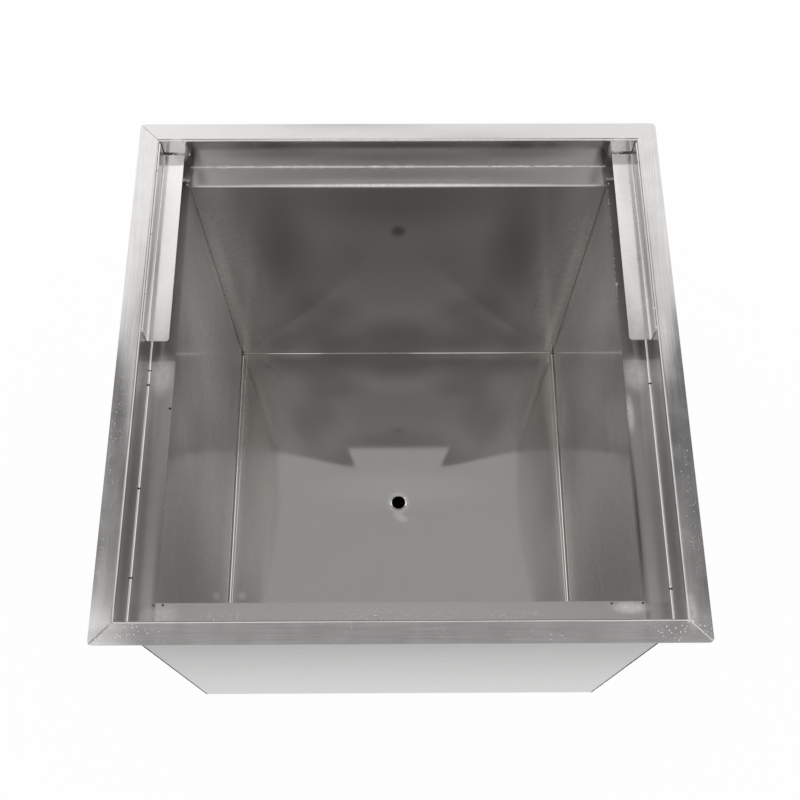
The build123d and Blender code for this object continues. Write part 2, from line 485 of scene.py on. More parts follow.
@dataclass(frozen=True)
class WearAndLightPatch:
    """Whitish, duller, brighter or gritty patch of a sheet, by its middle and half sizes in mm.

    Patches are set to the photograph's grey levels. Some stand for wear that it shows, and others for
    shade and reflections that the studio here does not give.
    """

    middle: tuple[float, float, float]
    reach: tuple[float, float, float]
    cover: float
    full: float = 0.2  # share of the reach that is covered in full

    def share(self, tree: Tree, place: Socket) -> Socket:
        """Adds the nodes that say how far a point lies in the patch.

        Args:
            tree: The material's tree.
            place: Object coordinates.

        Returns:
            A share from 0 to the patch's cover.
        """
        middle, reach = [tuple(length * MM for length in spot) for spot in (self.middle, self.reach)]
        away = add_node(tree, "ShaderNodeVectorMath", {0: place, 1: middle}, operation="SUBTRACT")
        scaled = add_node(tree, "ShaderNodeVectorMath", {0: away, 1: reach}, operation="DIVIDE")
        gone = add_node(tree, "ShaderNodeVectorMath", {0: scaled}, operation="LENGTH")
        return add_node(tree, "ShaderNodeMapRange", {
            "Value": gone.outputs["Value"], "From Min": 1.0, "From Max": self.full,
            "To Min": 0.0, "To Max": self.cover,
        }, interpolation_type="SMOOTHSTEP").outputs[0]


def both(
    middle: tuple[float, float, float],
    reach: tuple[float, float, float],
    left: float,
    right: float | None = None,
) -> tuple[WearAndLightPatch, WearAndLightPatch]:
    """Two patches that mirror each other on the bin's left and right.

    Args:
        middle: Middle of the right one, in mm.
        reach: Half sizes of both, in mm.
        left: How much the left one covers.
        right: How much the right one covers, if that differs.

    Returns:
        The left patch and the right one.
    """
    across, along, up = middle
    return WearAndLightPatch((-across, along, up), reach, left), WearAndLightPatch(middle, reach, left if right is None else right)


# Sizes and colours of the finishes' patterns
# Whitish patches are partly marks of rubbing and partly painted highlights, broken up the same way
RUB_AND_HIGHLIGHT_BREAKS = 6 * MM  # breaks in a rubbed patch
SPECK_GAP = 2.2 * MM  # a square of this side holds one speck of grit at most
SPECK_SIZE = 0.17  # radius of the largest speck of dust, as a share of that side
SPECK_RARITY = 1.4  # how much rarer the large specks are
DRIFT_SIZE = 60 * MM  # how far apart the drifts of grit lie
QUARTER_TURN = 0.25  # turns a drawn-out shine across the grain
# White of the whitish patches, the painted highlights among them
RUB_AND_HIGHLIGHT_WHITE = "#F4F2EE"
GRIT_WHITE = "#E9E7E2"


@dataclass(frozen=True)
class SteelFinish:
    """Stainless sheet with its rolling or brushing lines, smears and dust.

    A sharp shine is mixed with a hazy one. Patches of stain and painted shade darken it, and painted light
    lightens it where their cover is below zero.
    """

    name: str
    colour: str
    roughness: float
    swing: float
    grain_width: float
    grain_length: float
    grain_depth: float
    smear_size: float
    dust: float = 0.0
    anisotropy: float = 0.5
    shade: float = 0.9
    haze: float = 0.1
    haze_roughness: float = 0.5
    haze_anisotropy: float = 0.0
    low_haze: float | None = None
    low_height: float = 36 * MM
    cloud: float = 0.5
    scuffs_and_painted_highlights: tuple[WearAndLightPatch, ...] = ()
    stains_and_painted_light: tuple[WearAndLightPatch, ...] = ()
    grit: tuple[WearAndLightPatch, ...] = ()

    def material(self) -> bpy.types.Material:
        """Builds the node material on the sheet's own UV map."""
        material, tree = new_material(self.name)
        sheet = add_node(tree, "ShaderNodeUVMap", uv_map=SHEET_UV)
        place = add_node(tree, "ShaderNodeTexCoord").outputs["Object"]
        stretched = add_node(tree, "ShaderNodeMapping", {
            "Vector": sheet.outputs["UV"], "Scale": (1 / self.grain_length, 1 / self.grain_width, 1.0),
        })
        grain = add_node(tree, "ShaderNodeTexNoise", {
            "Vector": stretched.outputs["Vector"], "Scale": 1.0, "Detail": 3.0, "Roughness": 0.65,
        }, noise_dimensions="2D").outputs["Fac"]
        smear = add_node(tree, "ShaderNodeTexNoise", {
            "Vector": place, "Scale": 1 / self.smear_size, "Detail": 4.0, "Roughness": 0.6, "Distortion": 0.3,
        }).outputs["Fac"]
        uneven = summed(tree, [grain, smear])
        rough = add_node(tree, "ShaderNodeMapRange", {
            "Value": uneven, "From Min": 0.6, "From Max": 1.4,
            "To Min": self.roughness - self.swing, "To Max": self.roughness + self.swing,
        })
        dents = add_node(tree, "ShaderNodeBump", {
            "Height": grain, "Strength": 1.0, "Distance": self.grain_depth,
        })
        tangent = add_node(tree, "ShaderNodeTangent", direction_type="UV_MAP", uv_map=SHEET_UV)
        colour = self.tint(tree, place, uneven)
        sharp, hazy = [
            add_node(tree, "ShaderNodeBsdfPrincipled", {
                "Metallic": 1.0, "Base Color": colour, "Roughness": roughness, "Normal": dents,
                "Tangent": tangent, "Anisotropic": drawn_out, "Anisotropic Rotation": QUARTER_TURN,
            }).outputs[0]
            for roughness, drawn_out in (
                (rough.outputs[0], self.anisotropy), (self.haze_roughness, self.haze_anisotropy),
            )
        ]
        amount = self.haze_share(tree, place, smear)
        surface = add_node(tree, "ShaderNodeMixShader", {0: amount, 1: sharp, 2: hazy}).outputs[0]
        if self.scuffs_and_painted_highlights:
            surface = self.rubbed_and_lit(tree, place, surface)
        if self.dust:
            surface = self.dusted(tree, place, surface)
        add_node(tree, "ShaderNodeOutputMaterial", {"Surface": surface})
        return material

    def tint(self, tree: Tree, place: Socket, uneven: Socket) -> Socket:
        """Adds the steel's colour, uneven along the grain, darker in stained patches and painted shade,
        lighter in painted light.

        Args:
            tree: The material's tree.
            place: Object coordinates.
            uneven: Sum of the grain and the smears.

        Returns:
            The colour.
        """
        span = add_node(tree, "ShaderNodeMapRange", {"Value": uneven, "From Min": 0.7, "From Max": 1.3})
        tone = add_node(tree, "ShaderNodeMix", {
            0: span, 6: darker(self.colour, self.shade), 7: linear(self.colour),
        }, data_type="RGBA").outputs[2]
        if not self.stains_and_painted_light:
            return tone
        stain_and_light_scale = add_node(tree, "ShaderNodeMapRange", {
            "Value": self.total(tree, place, self.stains_and_painted_light), "To Min": 1.0, "To Max": 0.0,
        }, clamp=False)
        return add_node(tree, "ShaderNodeVectorMath", {0: tone, "Scale": stain_and_light_scale}, operation="SCALE").outputs[0]

    def haze_share(self, tree: Tree, place: Socket, smear: Socket) -> Socket:
        """Adds the nodes that say how hazy the shine is, in clouds and less so low in the well.

        Args:
            tree: The material's tree.
            place: Object coordinates.
            smear: The smears' pattern.

        Returns:
            The hazy shine's share.
        """
        clouds = add_node(tree, "ShaderNodeMapRange", {
            "Value": smear, "From Min": 0.35, "From Max": 0.65,
            "To Min": self.haze * (1 - self.cloud), "To Max": self.haze * (1 + self.cloud),
        }).outputs[0]
        if self.low_haze is None:
            return clouds
        height = add_node(tree, "ShaderNodeSeparateXYZ", {0: place})
        raised = add_node(tree, "ShaderNodeMapRange", {
            "Value": height.outputs["Z"], "From Min": self.low_height, "From Max": 2 * self.low_height,
            "To Min": self.low_haze / self.haze, "To Max": 1.0,
        })
        return add_node(tree, "ShaderNodeMath", {0: clouds, 1: raised}, operation="MULTIPLY").outputs[0]

    @staticmethod
    def total(tree: Tree, place: Socket, patches: Sequence[WearAndLightPatch]) -> Socket:
        """Adds up the patches at a point, on a sheet's face only.

        Args:
            tree: The material's tree.
            place: Object coordinates.
            patches: Patches to add.

        Returns:
            Their summed share.
        """
        shares = summed(tree, [patch.share(tree, place) for patch in patches])
        reverse = add_node(tree, "ShaderNodeAttribute", attribute_name=REVERSE)
        shown = add_node(tree, "ShaderNodeMath", {0: 1.0, 1: reverse.outputs["Fac"]}, operation="SUBTRACT")
        return add_node(tree, "ShaderNodeMath", {0: shares, 1: shown}, operation="MULTIPLY").outputs[0]

    def rubbed_and_lit(self, tree: Tree, place: Socket, steel: Socket) -> Socket:
        """Lays whitish patches, rubbing marks and painted highlights alike, broken up as a rubbing pad leaves
        them.

        Args:
            tree: The material's tree.
            place: Object coordinates.
            steel: The clean steel's shader.

        Returns:
            The shader with the whitish patches on it.
        """
        broken = add_node(tree, "ShaderNodeTexNoise", {
            "Vector": place, "Scale": 1 / RUB_AND_HIGHLIGHT_BREAKS, "Detail": 5.0, "Roughness": 0.7, "Distortion": 1.0,
        })
        patchy = add_node(tree, "ShaderNodeMapRange", {
            "Value": broken.outputs["Fac"], "From Min": 0.38, "From Max": 0.62, "To Min": 0.7, "To Max": 1.0,
        })
        cover = add_node(tree, "ShaderNodeMath", {
            0: self.total(tree, place, self.scuffs_and_painted_highlights), 1: patchy,
        }, operation="MULTIPLY")
        rub_and_highlight = add_node(tree, "ShaderNodeBsdfPrincipled", {
            "Metallic": 0.15, "Base Color": linear(RUB_AND_HIGHLIGHT_WHITE), "Roughness": 0.6,
        })
        mix = add_node(tree, "ShaderNodeMixShader", {0: cover, 1: steel, 2: rub_and_highlight})
        return mix.outputs[0]

    def dusted(self, tree: Tree, place: Socket, steel: Socket) -> Socket:
        """Lays pale specks over the steel, in drifts and in its gritty patches.

        Args:
            tree: The material's tree.
            place: Object coordinates.
            steel: The clean steel's shader.

        Returns:
            The shader with the specks on it.
        """
        specks = add_node(tree, "ShaderNodeTexVoronoi", {
            "Vector": place, "Scale": 1 / SPECK_GAP, "Randomness": 1.0,
        })
        drift = add_node(tree, "ShaderNodeTexNoise", {
            "Vector": place, "Scale": 1 / DRIFT_SIZE, "Detail": 3.0,
        })
        spread = add_node(tree, "ShaderNodeMapRange", {
            "Value": drift.outputs["Fac"], "From Min": 0.46, "From Max": 0.75,
            "To Min": 0.0, "To Max": SPECK_SIZE * self.dust,
        }).outputs[0]
        if self.grit:
            spread = summed(tree, [spread, self.total(tree, place, self.grit)])
        chance = add_node(tree, "ShaderNodeSeparateColor", {0: specks.outputs["Color"]})
        rare = add_node(tree, "ShaderNodeMath", {0: chance, 1: SPECK_RARITY}, operation="POWER")
        size = add_node(tree, "ShaderNodeMath", {0: spread, 1: rare}, operation="MULTIPLY")
        near = add_node(tree, "ShaderNodeMath", {
            0: specks.outputs["Distance"], 1: size,
        }, operation="LESS_THAN")
        grit = add_node(tree, "ShaderNodeBsdfPrincipled", {
            "Base Color": linear(GRIT_WHITE), "Roughness": 0.8,
        })
        mix = add_node(tree, "ShaderNodeMixShader", {0: near, 1: steel, 2: grit})
        return mix.outputs[0]


@dataclass(frozen=True)
class PlainFinish:
    """Metal, foam or rubber on a solid with no grain direction."""

    name: str
    colour: str
    roughness: float
    metallic: float
    mottle_size: float
    mottle_depth: float
    mottle_dark: float = 0.85
    swing: float = 0.15

    def material(self) -> bpy.types.Material:
        """Builds the node material on Object coordinates."""
        material, tree = new_material(self.name)
        place = add_node(tree, "ShaderNodeTexCoord").outputs["Object"]
        mottle = add_node(tree, "ShaderNodeTexNoise", {
            "Vector": place, "Scale": 1 / self.mottle_size, "Detail": 4.0, "Roughness": 0.6,
        }).outputs["Fac"]
        tone = add_node(tree, "ShaderNodeMix", {
            0: mottle, 6: darker(self.colour, self.mottle_dark), 7: linear(self.colour),
        }, data_type="RGBA")
        rough = add_node(tree, "ShaderNodeMapRange", {
            "Value": mottle, "From Min": 0.3, "From Max": 0.7,
            "To Min": (1 - self.swing) * self.roughness,
            "To Max": min(1.0, (1 + self.swing) * self.roughness),
        })
        dents = add_node(tree, "ShaderNodeBump", {
            "Height": mottle, "Strength": 1.0, "Distance": self.mottle_depth,
        })
        shader = add_node(tree, "ShaderNodeBsdfPrincipled", {
            "Metallic": self.metallic, "Base Color": tone.outputs[2], "Roughness": rough,
            "Normal": dents,
        })
        add_node(tree, "ShaderNodeOutputMaterial", {"Surface": shader})
        return material


Finish = SteelFinish | PlainFinish


@functools.cache
def material_of(finish: Finish) -> bpy.types.Material:
    """The finish's material, which all its pieces share."""
    return finish.material()


# Brushed sheet: fine lines along each rim and wall, and a soft, streaked shine. On this sheet and on the
# rolled one the lines are drawn ten times as coarse as they are, because real ones are too fine to show. Its
# whitish patches are painted highlights on the back collar's corners and along the back rim's inner edge, and
# its darkening patches are painted shade inside the back collar.
BRUSHED_SHELL = SteelFinish(
    "stainless_brushed_sheet", "#D6D4D3", roughness=0.12, swing=0.02, grain_width=1.2 * MM,
    grain_length=90 * MM, grain_depth=0.006 * MM, smear_size=70 * MM, shade=0.96, anisotropy=0.8,
    scuffs_and_painted_highlights=(
        # Painted highlights on the back collar's corners
        *both((263, 284, 555), (13, 8, 30), 1.0, 0.8),
        # Painted highlight along the back rim's inner edge
        WearAndLightPatch((0, 285, 571), (310, 3, 3), 0.7),
    ),
    # Painted shade inside the back collar
    stains_and_painted_light=(
        WearAndLightPatch((0, 283.5, 550), (280, 6, 34), 0.45),
        *both((246, 283.5, 543), (10, 6, 36), 0.45),
        WearAndLightPatch((0, 283.5, 564), (280, 4, 10), 0.2),
        *both((160, 283.5, 550), (90, 6, 26), 0.2),
    ),
)
# The same sheet on the sides and the front: pale grit in drifts, cloudy patches and rubbed corners. Its
# darkening patches are painted shade inside the side collars, and darken patches of the rims.
DUSTY_SHELL = replace(
    BRUSHED_SHELL, name="stainless_brushed_dusty_sheet", colour="#DAD8D7", roughness=0.08,
    smear_size=24 * MM, shade=0.8, anisotropy=0.5, cloud=0.4, dust=1.0,
    scuffs_and_painted_highlights=(
        WearAndLightPatch((-300, -240, 572), (12, 40, 10), 0.2),
        WearAndLightPatch((-298, -160, 572), (14, 80, 10), 0.08),
        WearAndLightPatch((298, 30, 572), (10, 40, 10), 0.1),
        WearAndLightPatch((288, -276, 572), (8, 26, 10), 0.3),
    ),
    stains_and_painted_light=(
        # Painted shade inside the side collars
        *both((283.5, -130, 545), (4, 280, 26), 0.4, 0.3),
        WearAndLightPatch((-297, -45, 572), (18, 50, 10), 0.12),
        WearAndLightPatch((0, -296, 572), (330, 16, 6), 0.08),
        *both((285, -298, 572), (45, 14, 6), 0.2, 0.12),
    ),
    grit=(
        WearAndLightPatch((-285, -295, 572), (90, 22, 20), 0.24),
        WearAndLightPatch((290, -295, 572), (70, 24, 20), 0.32),
        WearAndLightPatch((130, -300, 572), (60, 14, 20), 0.22),
        WearAndLightPatch((300, -160, 572), (14, 120, 20), 0.2),
        WearAndLightPatch((-300, -120, 572), (14, 170, 20), 0.2),
    ),
)
# Whitish patches on the well. The small ones near the front corners and on the right ledge are marks of
# rubbing;
# the long ones on the front and back ledges are painted light that lifts their grey. The rest are painted
# light:
# broad ones that lift the walls' grey, a painted highlight along the back ledge's edge, and painted
# reflections on the side ledges in front of the rails.
LINER_RUBS_AND_PAINTED_LIGHT = (
    WearAndLightPatch((-250, -268, 518), (26, 16, 10), 0.45),
    WearAndLightPatch((240, -262, 518), (26, 9, 10), 0.75),
    WearAndLightPatch((0, -269, 518), (300, 30, 10), 0.12),
    WearAndLightPatch((0, 269, 518), (300, 30, 10), 0.1),
    # Painted highlight along the back ledge's edge
    WearAndLightPatch((0, 257, 517.2), (262, 3.2, 3.0), 0.9),
    # Painted reflections on the side ledges in front of the rails
    WearAndLightPatch((-269, 4, 518), (18, 34, 10), 0.5),
    WearAndLightPatch((268, 4, 518), (18, 30, 10), 0.5),
    WearAndLightPatch((258, -45, 518), (6, 30, 8), 0.5),
    # Painted light that lifts the walls' grey
    *both((256, 130, 250), (40, 200, 340), 0.75, 0.45),
    *both((235, 256, 260), (60, 12, 330), 0.3, 0.22),
)
# Patches that darken the ledges, walls and floor, and brighten them where they have a minus. Most are painted
# shade and painted light, among them painted shadow under the rails and below the right ledge's edge.
LINER_PAINTED_LIGHT_AND_STAINS = (
    *both((255, -245, 330), (8, 220, 420), 0.42),
    WearAndLightPatch((255, 40, 120), (8, 80, 140), 0.2),
    # Painted shadow below the right ledge's edge
    WearAndLightPatch((255, -150, 514), (4, 130, 14), 0.4),
    *both((255, -10, 440), (8, 90, 100), -0.25, -0.12),
    WearAndLightPatch((-255, 120, 200), (8, 60, 200), -0.15),
    *both((255, 243, 260), (6, 8, 280), -0.4),
    *both((120, 105, 32), (80, 60, 8), -0.1),
    *both((275, -165, 518), (24, 170, 10), 0.3, 0.27),
    # Painted shadow under the rails
    *both((262, 150, 518), (12, 150, 14), 0.35),
    WearAndLightPatch((0, 225, 32), (260, 60, 8), -0.2),
    *both((257, -165, 518), (10, 170, 5), 0.18, 0.16),
    WearAndLightPatch((130, 252, 34), (150, 16, 12), -0.35),
    WearAndLightPatch((-235, 250, 34), (45, 22, 14), -0.3),
    WearAndLightPatch((-165, 252, 33), (50, 12, 12), -0.4),
    WearAndLightPatch((242, 248, 36), (30, 20, 26), -0.3),
    WearAndLightPatch((0, -20, 31), (12, 11, 10), -0.25),
    WearAndLightPatch((7, -27, 31), (12, 8, 10), -0.25),
    WearAndLightPatch((246, 170, 34), (16, 110, 16), -0.5),
    WearAndLightPatch((0, 0, 31), (26, 26, 10), -0.15),
    WearAndLightPatch((0, 22, 31), (190, 40, 10), -0.08),
    WearAndLightPatch((-235.6, -145.7, 32), (9, 9, 6), -0.4),
    WearAndLightPatch((-225, 0, 32), (40, 220, 10), -0.2),
    *both((250, 0, 34), (12, 400, 12), -0.25, -0.3),
)
# The same on the end panels, all painted shade and painted light: the back wall darker overall and more so at
# its top and foot, a painted reflection of the drain high on it, the back ledge darker behind a lighter front
# edge, and lighter strips at the back wall's ends.
END_PAINTED_SHADE_AND_LIGHT = (
    WearAndLightPatch((0, 255, 300), (330, 8, 420), 0.21),
    WearAndLightPatch((0, 255, 505), (230, 8, 110), 0.26),
    # Painted reflection of the drain
    WearAndLightPatch((0, 255, 413), (15, 8, 19), 0.42),
    *both((150, 255, 60), (110, 8, 120), 0.42),
    WearAndLightPatch((0, 255, 60), (150, 8, 130), 0.46),
    *both((115, 255, 175), (80, 8, 90), 0.25),
    *both((150, 255, 340), (50, 8, 180), 0.2),
    WearAndLightPatch((0, 276, 518), (280, 14, 8), 0.22),
    WearAndLightPatch((0, 260, 518), (280, 9, 8), -0.25),
    *both((242, 255, 250), (8, 6, 270), -0.45),
)
# Grit along the front ledge
END_GRIT = (
    WearAndLightPatch((-20, -270, 518), (60, 14, 10), 0.2),
    WearAndLightPatch((120, -270, 518), (60, 14, 10), 0.2),
    WearAndLightPatch((-190, -270, 518), (80, 14, 10), 0.18),
)
# Mill-rolled sheet of the sides and floor: a soft mirror, drawn out across its faint rolling lines
ROLLED_WRAP = SteelFinish(
    "stainless_mill_rolled_sheet", "#D1CFCC", roughness=0.07, swing=0.015, grain_width=1.4 * MM,
    grain_length=160 * MM, grain_depth=0.002 * MM, smear_size=120 * MM, dust=0.5, shade=0.96, haze=0.35,
    haze_anisotropy=0.8, low_haze=0.1, cloud=0.2, scuffs_and_painted_highlights=LINER_RUBS_AND_PAINTED_LIGHT, stains_and_painted_light=LINER_PAINTED_LIGHT_AND_STAINS,
)
# The same sheet on the end panels, a little darker, its shine softer and more drawn out
ROLLED_END = replace(
    ROLLED_WRAP, name="stainless_mill_rolled_end_sheet", colour="#CBC9C6", roughness=0.25, swing=0.02,
    anisotropy=0.9, haze=0.1, low_haze=None, stains_and_painted_light=END_PAINTED_SHADE_AND_LIGHT, grit=END_GRIT,
)
# Strip folded into rails: bright, with cloudy smears, painted shade on its uprights, and patches of painted
# light and shade along its top
BRIGHT_RAIL = SteelFinish(
    "stainless_brushed_strip", "#E9E7E5", roughness=0.1, swing=0.03, grain_width=1.2 * MM,
    grain_length=60 * MM, grain_depth=0.006 * MM, smear_size=60 * MM, shade=0.95, haze=0.3, cloud=0.3,
    stains_and_painted_light=(
        # Painted shade on the rails' uprights
        WearAndLightPatch((-283, 170, 560), (5, 160, 18), 0.4),
        WearAndLightPatch((283, 170, 560), (5, 180, 18), 0.6),
        WearAndLightPatch((270, 245, 546), (16, 60, 6), 0.12),
        *both((270, 70, 546), (16, 60, 6), -0.1),
    ),
)
# Weld ground to a smooth fillet: one thin bright line along a corner
GROUND_FILLET = SteelFinish(
    "stainless_ground_fillet", "#F4F2EE", roughness=0.2, swing=0.05, grain_width=1.2 * MM,
    grain_length=20 * MM, grain_depth=0.01 * MM, smear_size=15 * MM,
)
# Sheet of the underside: plain grey, with no lines to be seen
PAN_STEEL = PlainFinish("stainless_mill_rolled_pan", "#C4C3C1", 0.3, 1.0, 40 * MM, 0.02 * MM)
# Turned coupling: a bright, even ring
TURNED_STEEL = PlainFinish("stainless_turned_coupling", "#F0EEEA", 0.15, 1.0, 3 * MM, 0.01 * MM)
# Weld left as it was laid: whitish, uneven beads
BRIGHT_WELD = PlainFinish("stainless_bright_weld", "#F0EEEA", 0.5, 0.7, 1.5 * MM, 0.08 * MM)
# Weld scrubbed after laying: grey beads
DULL_WELD = PlainFinish("stainless_scrubbed_weld", "#BDBAB5", 0.42, 1.0, 1.5 * MM, 0.1 * MM)
# Weld ground nearly flush: a thin, bright line
GROUND_SEAM = PlainFinish("stainless_ground_seam", "#F4F2EE", 0.15, 1.0, 6 * MM, 0.01 * MM)
# Weld dark from its own heat: a thin, dark line
BURNT_WELD = PlainFinish("stainless_burnt_weld", "#5A5651", 0.5, 1.0, 1.5 * MM, 0.1 * MM)
# Pit that a tack left: a near-black dot
BLACK_PIT = PlainFinish("stainless_scorched_pit", "#1E1C1B", 0.6, 0.6, 1.0 * MM, 0.1 * MM)
# Rigid foam: pale yellow, dull and pitted
FOAM = PlainFinish("polyurethane_rigid_foam", "#E6D7A3", 0.9, 0.0, 6 * MM, 0.6 * MM)
# Moulded rubber: black, with a soft sheen
RUBBER = PlainFinish("nitrile_moulded_rubber", "#1C1C1C", 0.6, 0.0, 4 * MM, 0.05 * MM)


def settle(piece: bpy.types.Object, finish: Finish, nodes: Sequence[str] = ()) -> None:
    """Gives a new piece its material and its body, and reports it.

    Args:
        piece: The finished piece.
        finish: The piece's finish.
        nodes: Solids that the piece stands for.
    """
    piece.data.materials.clear()
    piece.data.materials.append(material_of(finish))
    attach(piece, BODY)
    if nodes:
        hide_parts(*nodes)
    LOG.info("%s: %d faces", piece.name, len(piece.data.polygons))


@dataclass
class Shell:
    """Outer walls, each with its side of the rim, mitred at the corners."""

    sizes: BinSizes
    step: float = 14 * MM
    bow: float = 0.5 * MM

    def mitre(self, across: float, wall: float, rim: float, other_wall: float, other_rim: float) -> float:
        """Half length of a panel at a distance out from its wall, cut at the corner and ground round.

        Args:
            across: Distance of the row from the middle.
            wall: Inner face of this panel's wall.
            rim: Outer edge of this panel's rim.
            other_wall: Inner face of the neighbour's wall.
            other_rim: Outer edge of the neighbour's rim.

        Returns:
            Distance from the middle to the end of the row.
        """
        end = other_wall + (across - wall)
        past = across - (rim - RIM_CORNER)
        if past > 0:
            round_end = other_rim - RIM_CORNER + math.sqrt(max(0.0, RIM_CORNER ** 2 - past ** 2))
            end = min(end, round_end)
        return end

    def panel(self, name: str, run: Run, side: Side, seed: int) -> bpy.types.Object:
        """Builds one wall with its side of the rim.

        Args:
            name: Name of the piece.
            run: Way that its folds run.
            side: Whether it is mirrored to the left or the front.
            seed: Seed of its bow.

        Returns:
            The piece.
        """
        sizes = self.sizes
        if run is Run.SIDE:
            wall, rim, other_wall, other_rim = sizes.wall_x, sizes.rim_x, sizes.wall_y, sizes.rim_y
        else:
            wall, rim, other_wall, other_rim = sizes.wall_y, sizes.rim_y, sizes.wall_x, sizes.rim_x
        line = [(wall, 0.0), (wall, sizes.rim_z), (rim, sizes.rim_z)]
        cuts = [
            rim - RIM_CORNER + RIM_CORNER * math.sin(math.radians(angle)) for angle in (0, 30, 45, 60, 75)
        ]
        rows = face_stations(line, [SHELL_BEND], SHELL_SHEET, self.step, cuts)

        def ends(place: Vector) -> tuple[float, float]:
            """Start and end of a row."""
            half = self.mitre(place.x, wall, rim, other_wall, other_rim)
            return -half, half

        shares = spaced([0.0, 1.0], self.step / (2 * other_rim))
        return FoldedSheet(
            name, rows, SHELL_SHEET, run, shares, ends, side=side, bow=self.bow, seed=seed,
        ).build()

    def build(self) -> None:
        """Builds and dresses the four walls."""
        for name, run, side, finish in (
            ("shell_right", Run.SIDE, Side.AS_DRAWN, DUSTY_SHELL),
            ("shell_left", Run.SIDE, Side.MIRRORED, DUSTY_SHELL),
            ("shell_back", Run.END, Side.AS_DRAWN, BRUSHED_SHELL),
            ("shell_front", Run.END, Side.MIRRORED, DUSTY_SHELL),
        ):
            piece = self.panel("brushed_" + name, run, side, len(name))
            settle(piece, finish, [name])


@dataclass
class Liner:
    """The well: sides and floor in one sheet, and the two end panels."""

    sizes: BinSizes
    step: float = 6 * MM
    bow: float = 0.5 * MM
    floor_border: float = 6 * MM
    drain_flat: float = 25 * MM
    crease_width: float = 0.02  # as a share of the way from the drain to the border
    fall_curve: float = 1.5
    dome: float = 2.4 * MM  # how far the side facets spring up
    dome_start: float = 35 * MM
    patch: float = 32 * MM  # half the square that the drain's hole is let into
    narrowest: float = 1 * MM  # least width that the spring is spread over

    def dish(self, place: Vector, along: float) -> float:
        """Fall of the creased floor below its border, with the side facets sprung up a little.

        Args:
            place: Place on the section, as (across, up).
            along: Distance along Y.

        Returns:
            Height to add, which is zero off the floor.
        """
        sizes = self.sizes
        border_x = sizes.liner_x - FLOOR_BEND - self.floor_border
        border_y = sizes.liner_y - self.floor_border
        if place.y > sizes.floor_z + FLOOR_BEND or abs(place.x) > border_x:
            return 0.0
        share_x = (abs(place.x) - self.drain_flat) / (border_x - self.drain_flat)
        share_y = (abs(along) - self.drain_flat) / (border_y - self.drain_flat)
        gap = share_x - share_y
        ridge = (share_x + share_y + math.sqrt(gap * gap + self.crease_width ** 2)) / 2
        fall = -(sizes.floor_z - sizes.drain_z) * (1.0 - min(1.0, max(0.0, ridge)) ** self.fall_curve)
        from_crease = (abs(place.x) - abs(along)) / max(self.narrowest, border_x - abs(along))
        clear = min(1.0, max(0.0, (abs(place.x) - self.drain_flat) / self.dome_start))
        height = self.dome * clear * max(0.0, 1.0 - abs(along) / border_y)
        spring = height * math.sin(math.pi * min(1.0, max(0.0, from_crease)))
        return fall + spring

    def wrap(self) -> bpy.types.Object:
        """Builds both sides and the floor, with the side ledges and the drain's hole."""
        sizes = self.sizes
        half = [
            (-sizes.wall_x, sizes.ledge_z), (-sizes.liner_x, sizes.ledge_z), (-sizes.liner_x, sizes.floor_z),
        ]
        line = half + [(-x, z) for x, z in reversed(half)]
        radii = [None, FLOOR_BEND, FLOOR_BEND, None]
        rows = face_stations(line, radii, LINER_SHEET, self.step, cuts=[-self.patch, self.patch])
        reach = sizes.liner_y + LINER_SHEET

        def ends(_: Vector) -> tuple[float, float]:
            """Start and end of a row."""
            return -reach, reach

        marks = [0.0, 0.5 - self.patch / (2 * reach), 0.5 + self.patch / (2 * reach), 1.0]
        return FoldedSheet(
            "rolled_liner_wrap", rows, LINER_SHEET, Run.SIDE, spaced(marks, self.step / (2 * reach)), ends,
            relief=self.dish, hole=DrainHole(self.patch, DRAIN_HOLE),
        ).build()

    def end_panel(self, name: str, side: Side, bend: float | None, seed: int) -> bpy.types.Object:
        """Builds an end of the well with its ledge.

        Args:
            name: Name of the piece.
            side: Whether it is mirrored to the front.
            bend: Inside radius of the ledge's edge, or None where it is sharp.
            seed: Seed of its bow.

        Returns:
            The piece.
        """
        sizes = self.sizes
        line = [
            (sizes.liner_y, sizes.floor_z), (sizes.liner_y, sizes.ledge_z), (sizes.wall_y, sizes.ledge_z),
        ]
        rises = [
            sizes.floor_z + FLOOR_BEND * (1 - math.cos(math.radians(angle))) for angle in (20, 40, 60, 75, 90)
        ]
        rows = face_stations(line, [bend], LINER_SHEET, self.step, rises=rises)

        def ends(place: Vector) -> tuple[float, float]:
            """Start and end of a row, drawn in at the foot where the floor's bend is."""
            below = max(0.0, FLOOR_BEND - (place.y - sizes.floor_z))
            reach = sizes.liner_x - FLOOR_BEND + math.sqrt(FLOOR_BEND ** 2 - below ** 2)
            return -reach, reach

        return FoldedSheet(
            name, rows, LINER_SHEET, Run.END, spaced([0.0, 1.0], self.step / (2 * sizes.liner_x)), ends,
            side=side, bow=self.bow, seed=seed,
        ).build()

    def corner_tabs(self) -> bpy.types.Object:
        """Builds the four flat corners of the ledge."""
        sizes = self.sizes
        mesh = bmesh.new()
        low = Vector((sizes.liner_x, sizes.liner_y + LINER_SHEET, sizes.ledge_z - LINER_SHEET))
        high = Vector((sizes.wall_x, sizes.wall_y, sizes.ledge_z))
        middle, span = (low + high) / 2, high - low
        for flip_x in (-1, 1):
            for flip_y in (-1, 1):
                place = Matrix.Translation((flip_x * middle.x, flip_y * middle.y, middle.z))
                bmesh.ops.create_cube(mesh, size=1.0, matrix=place @ Matrix.Diagonal((*span, 1.0)))
        layer = mesh.loops.layers.uv.new(SHEET_UV)
        for face in mesh.faces:
            for loop in face.loops:
                loop[layer].uv = (loop.vert.co.x, loop.vert.co.y)
        return meshed("rolled_ledge_corners", mesh)

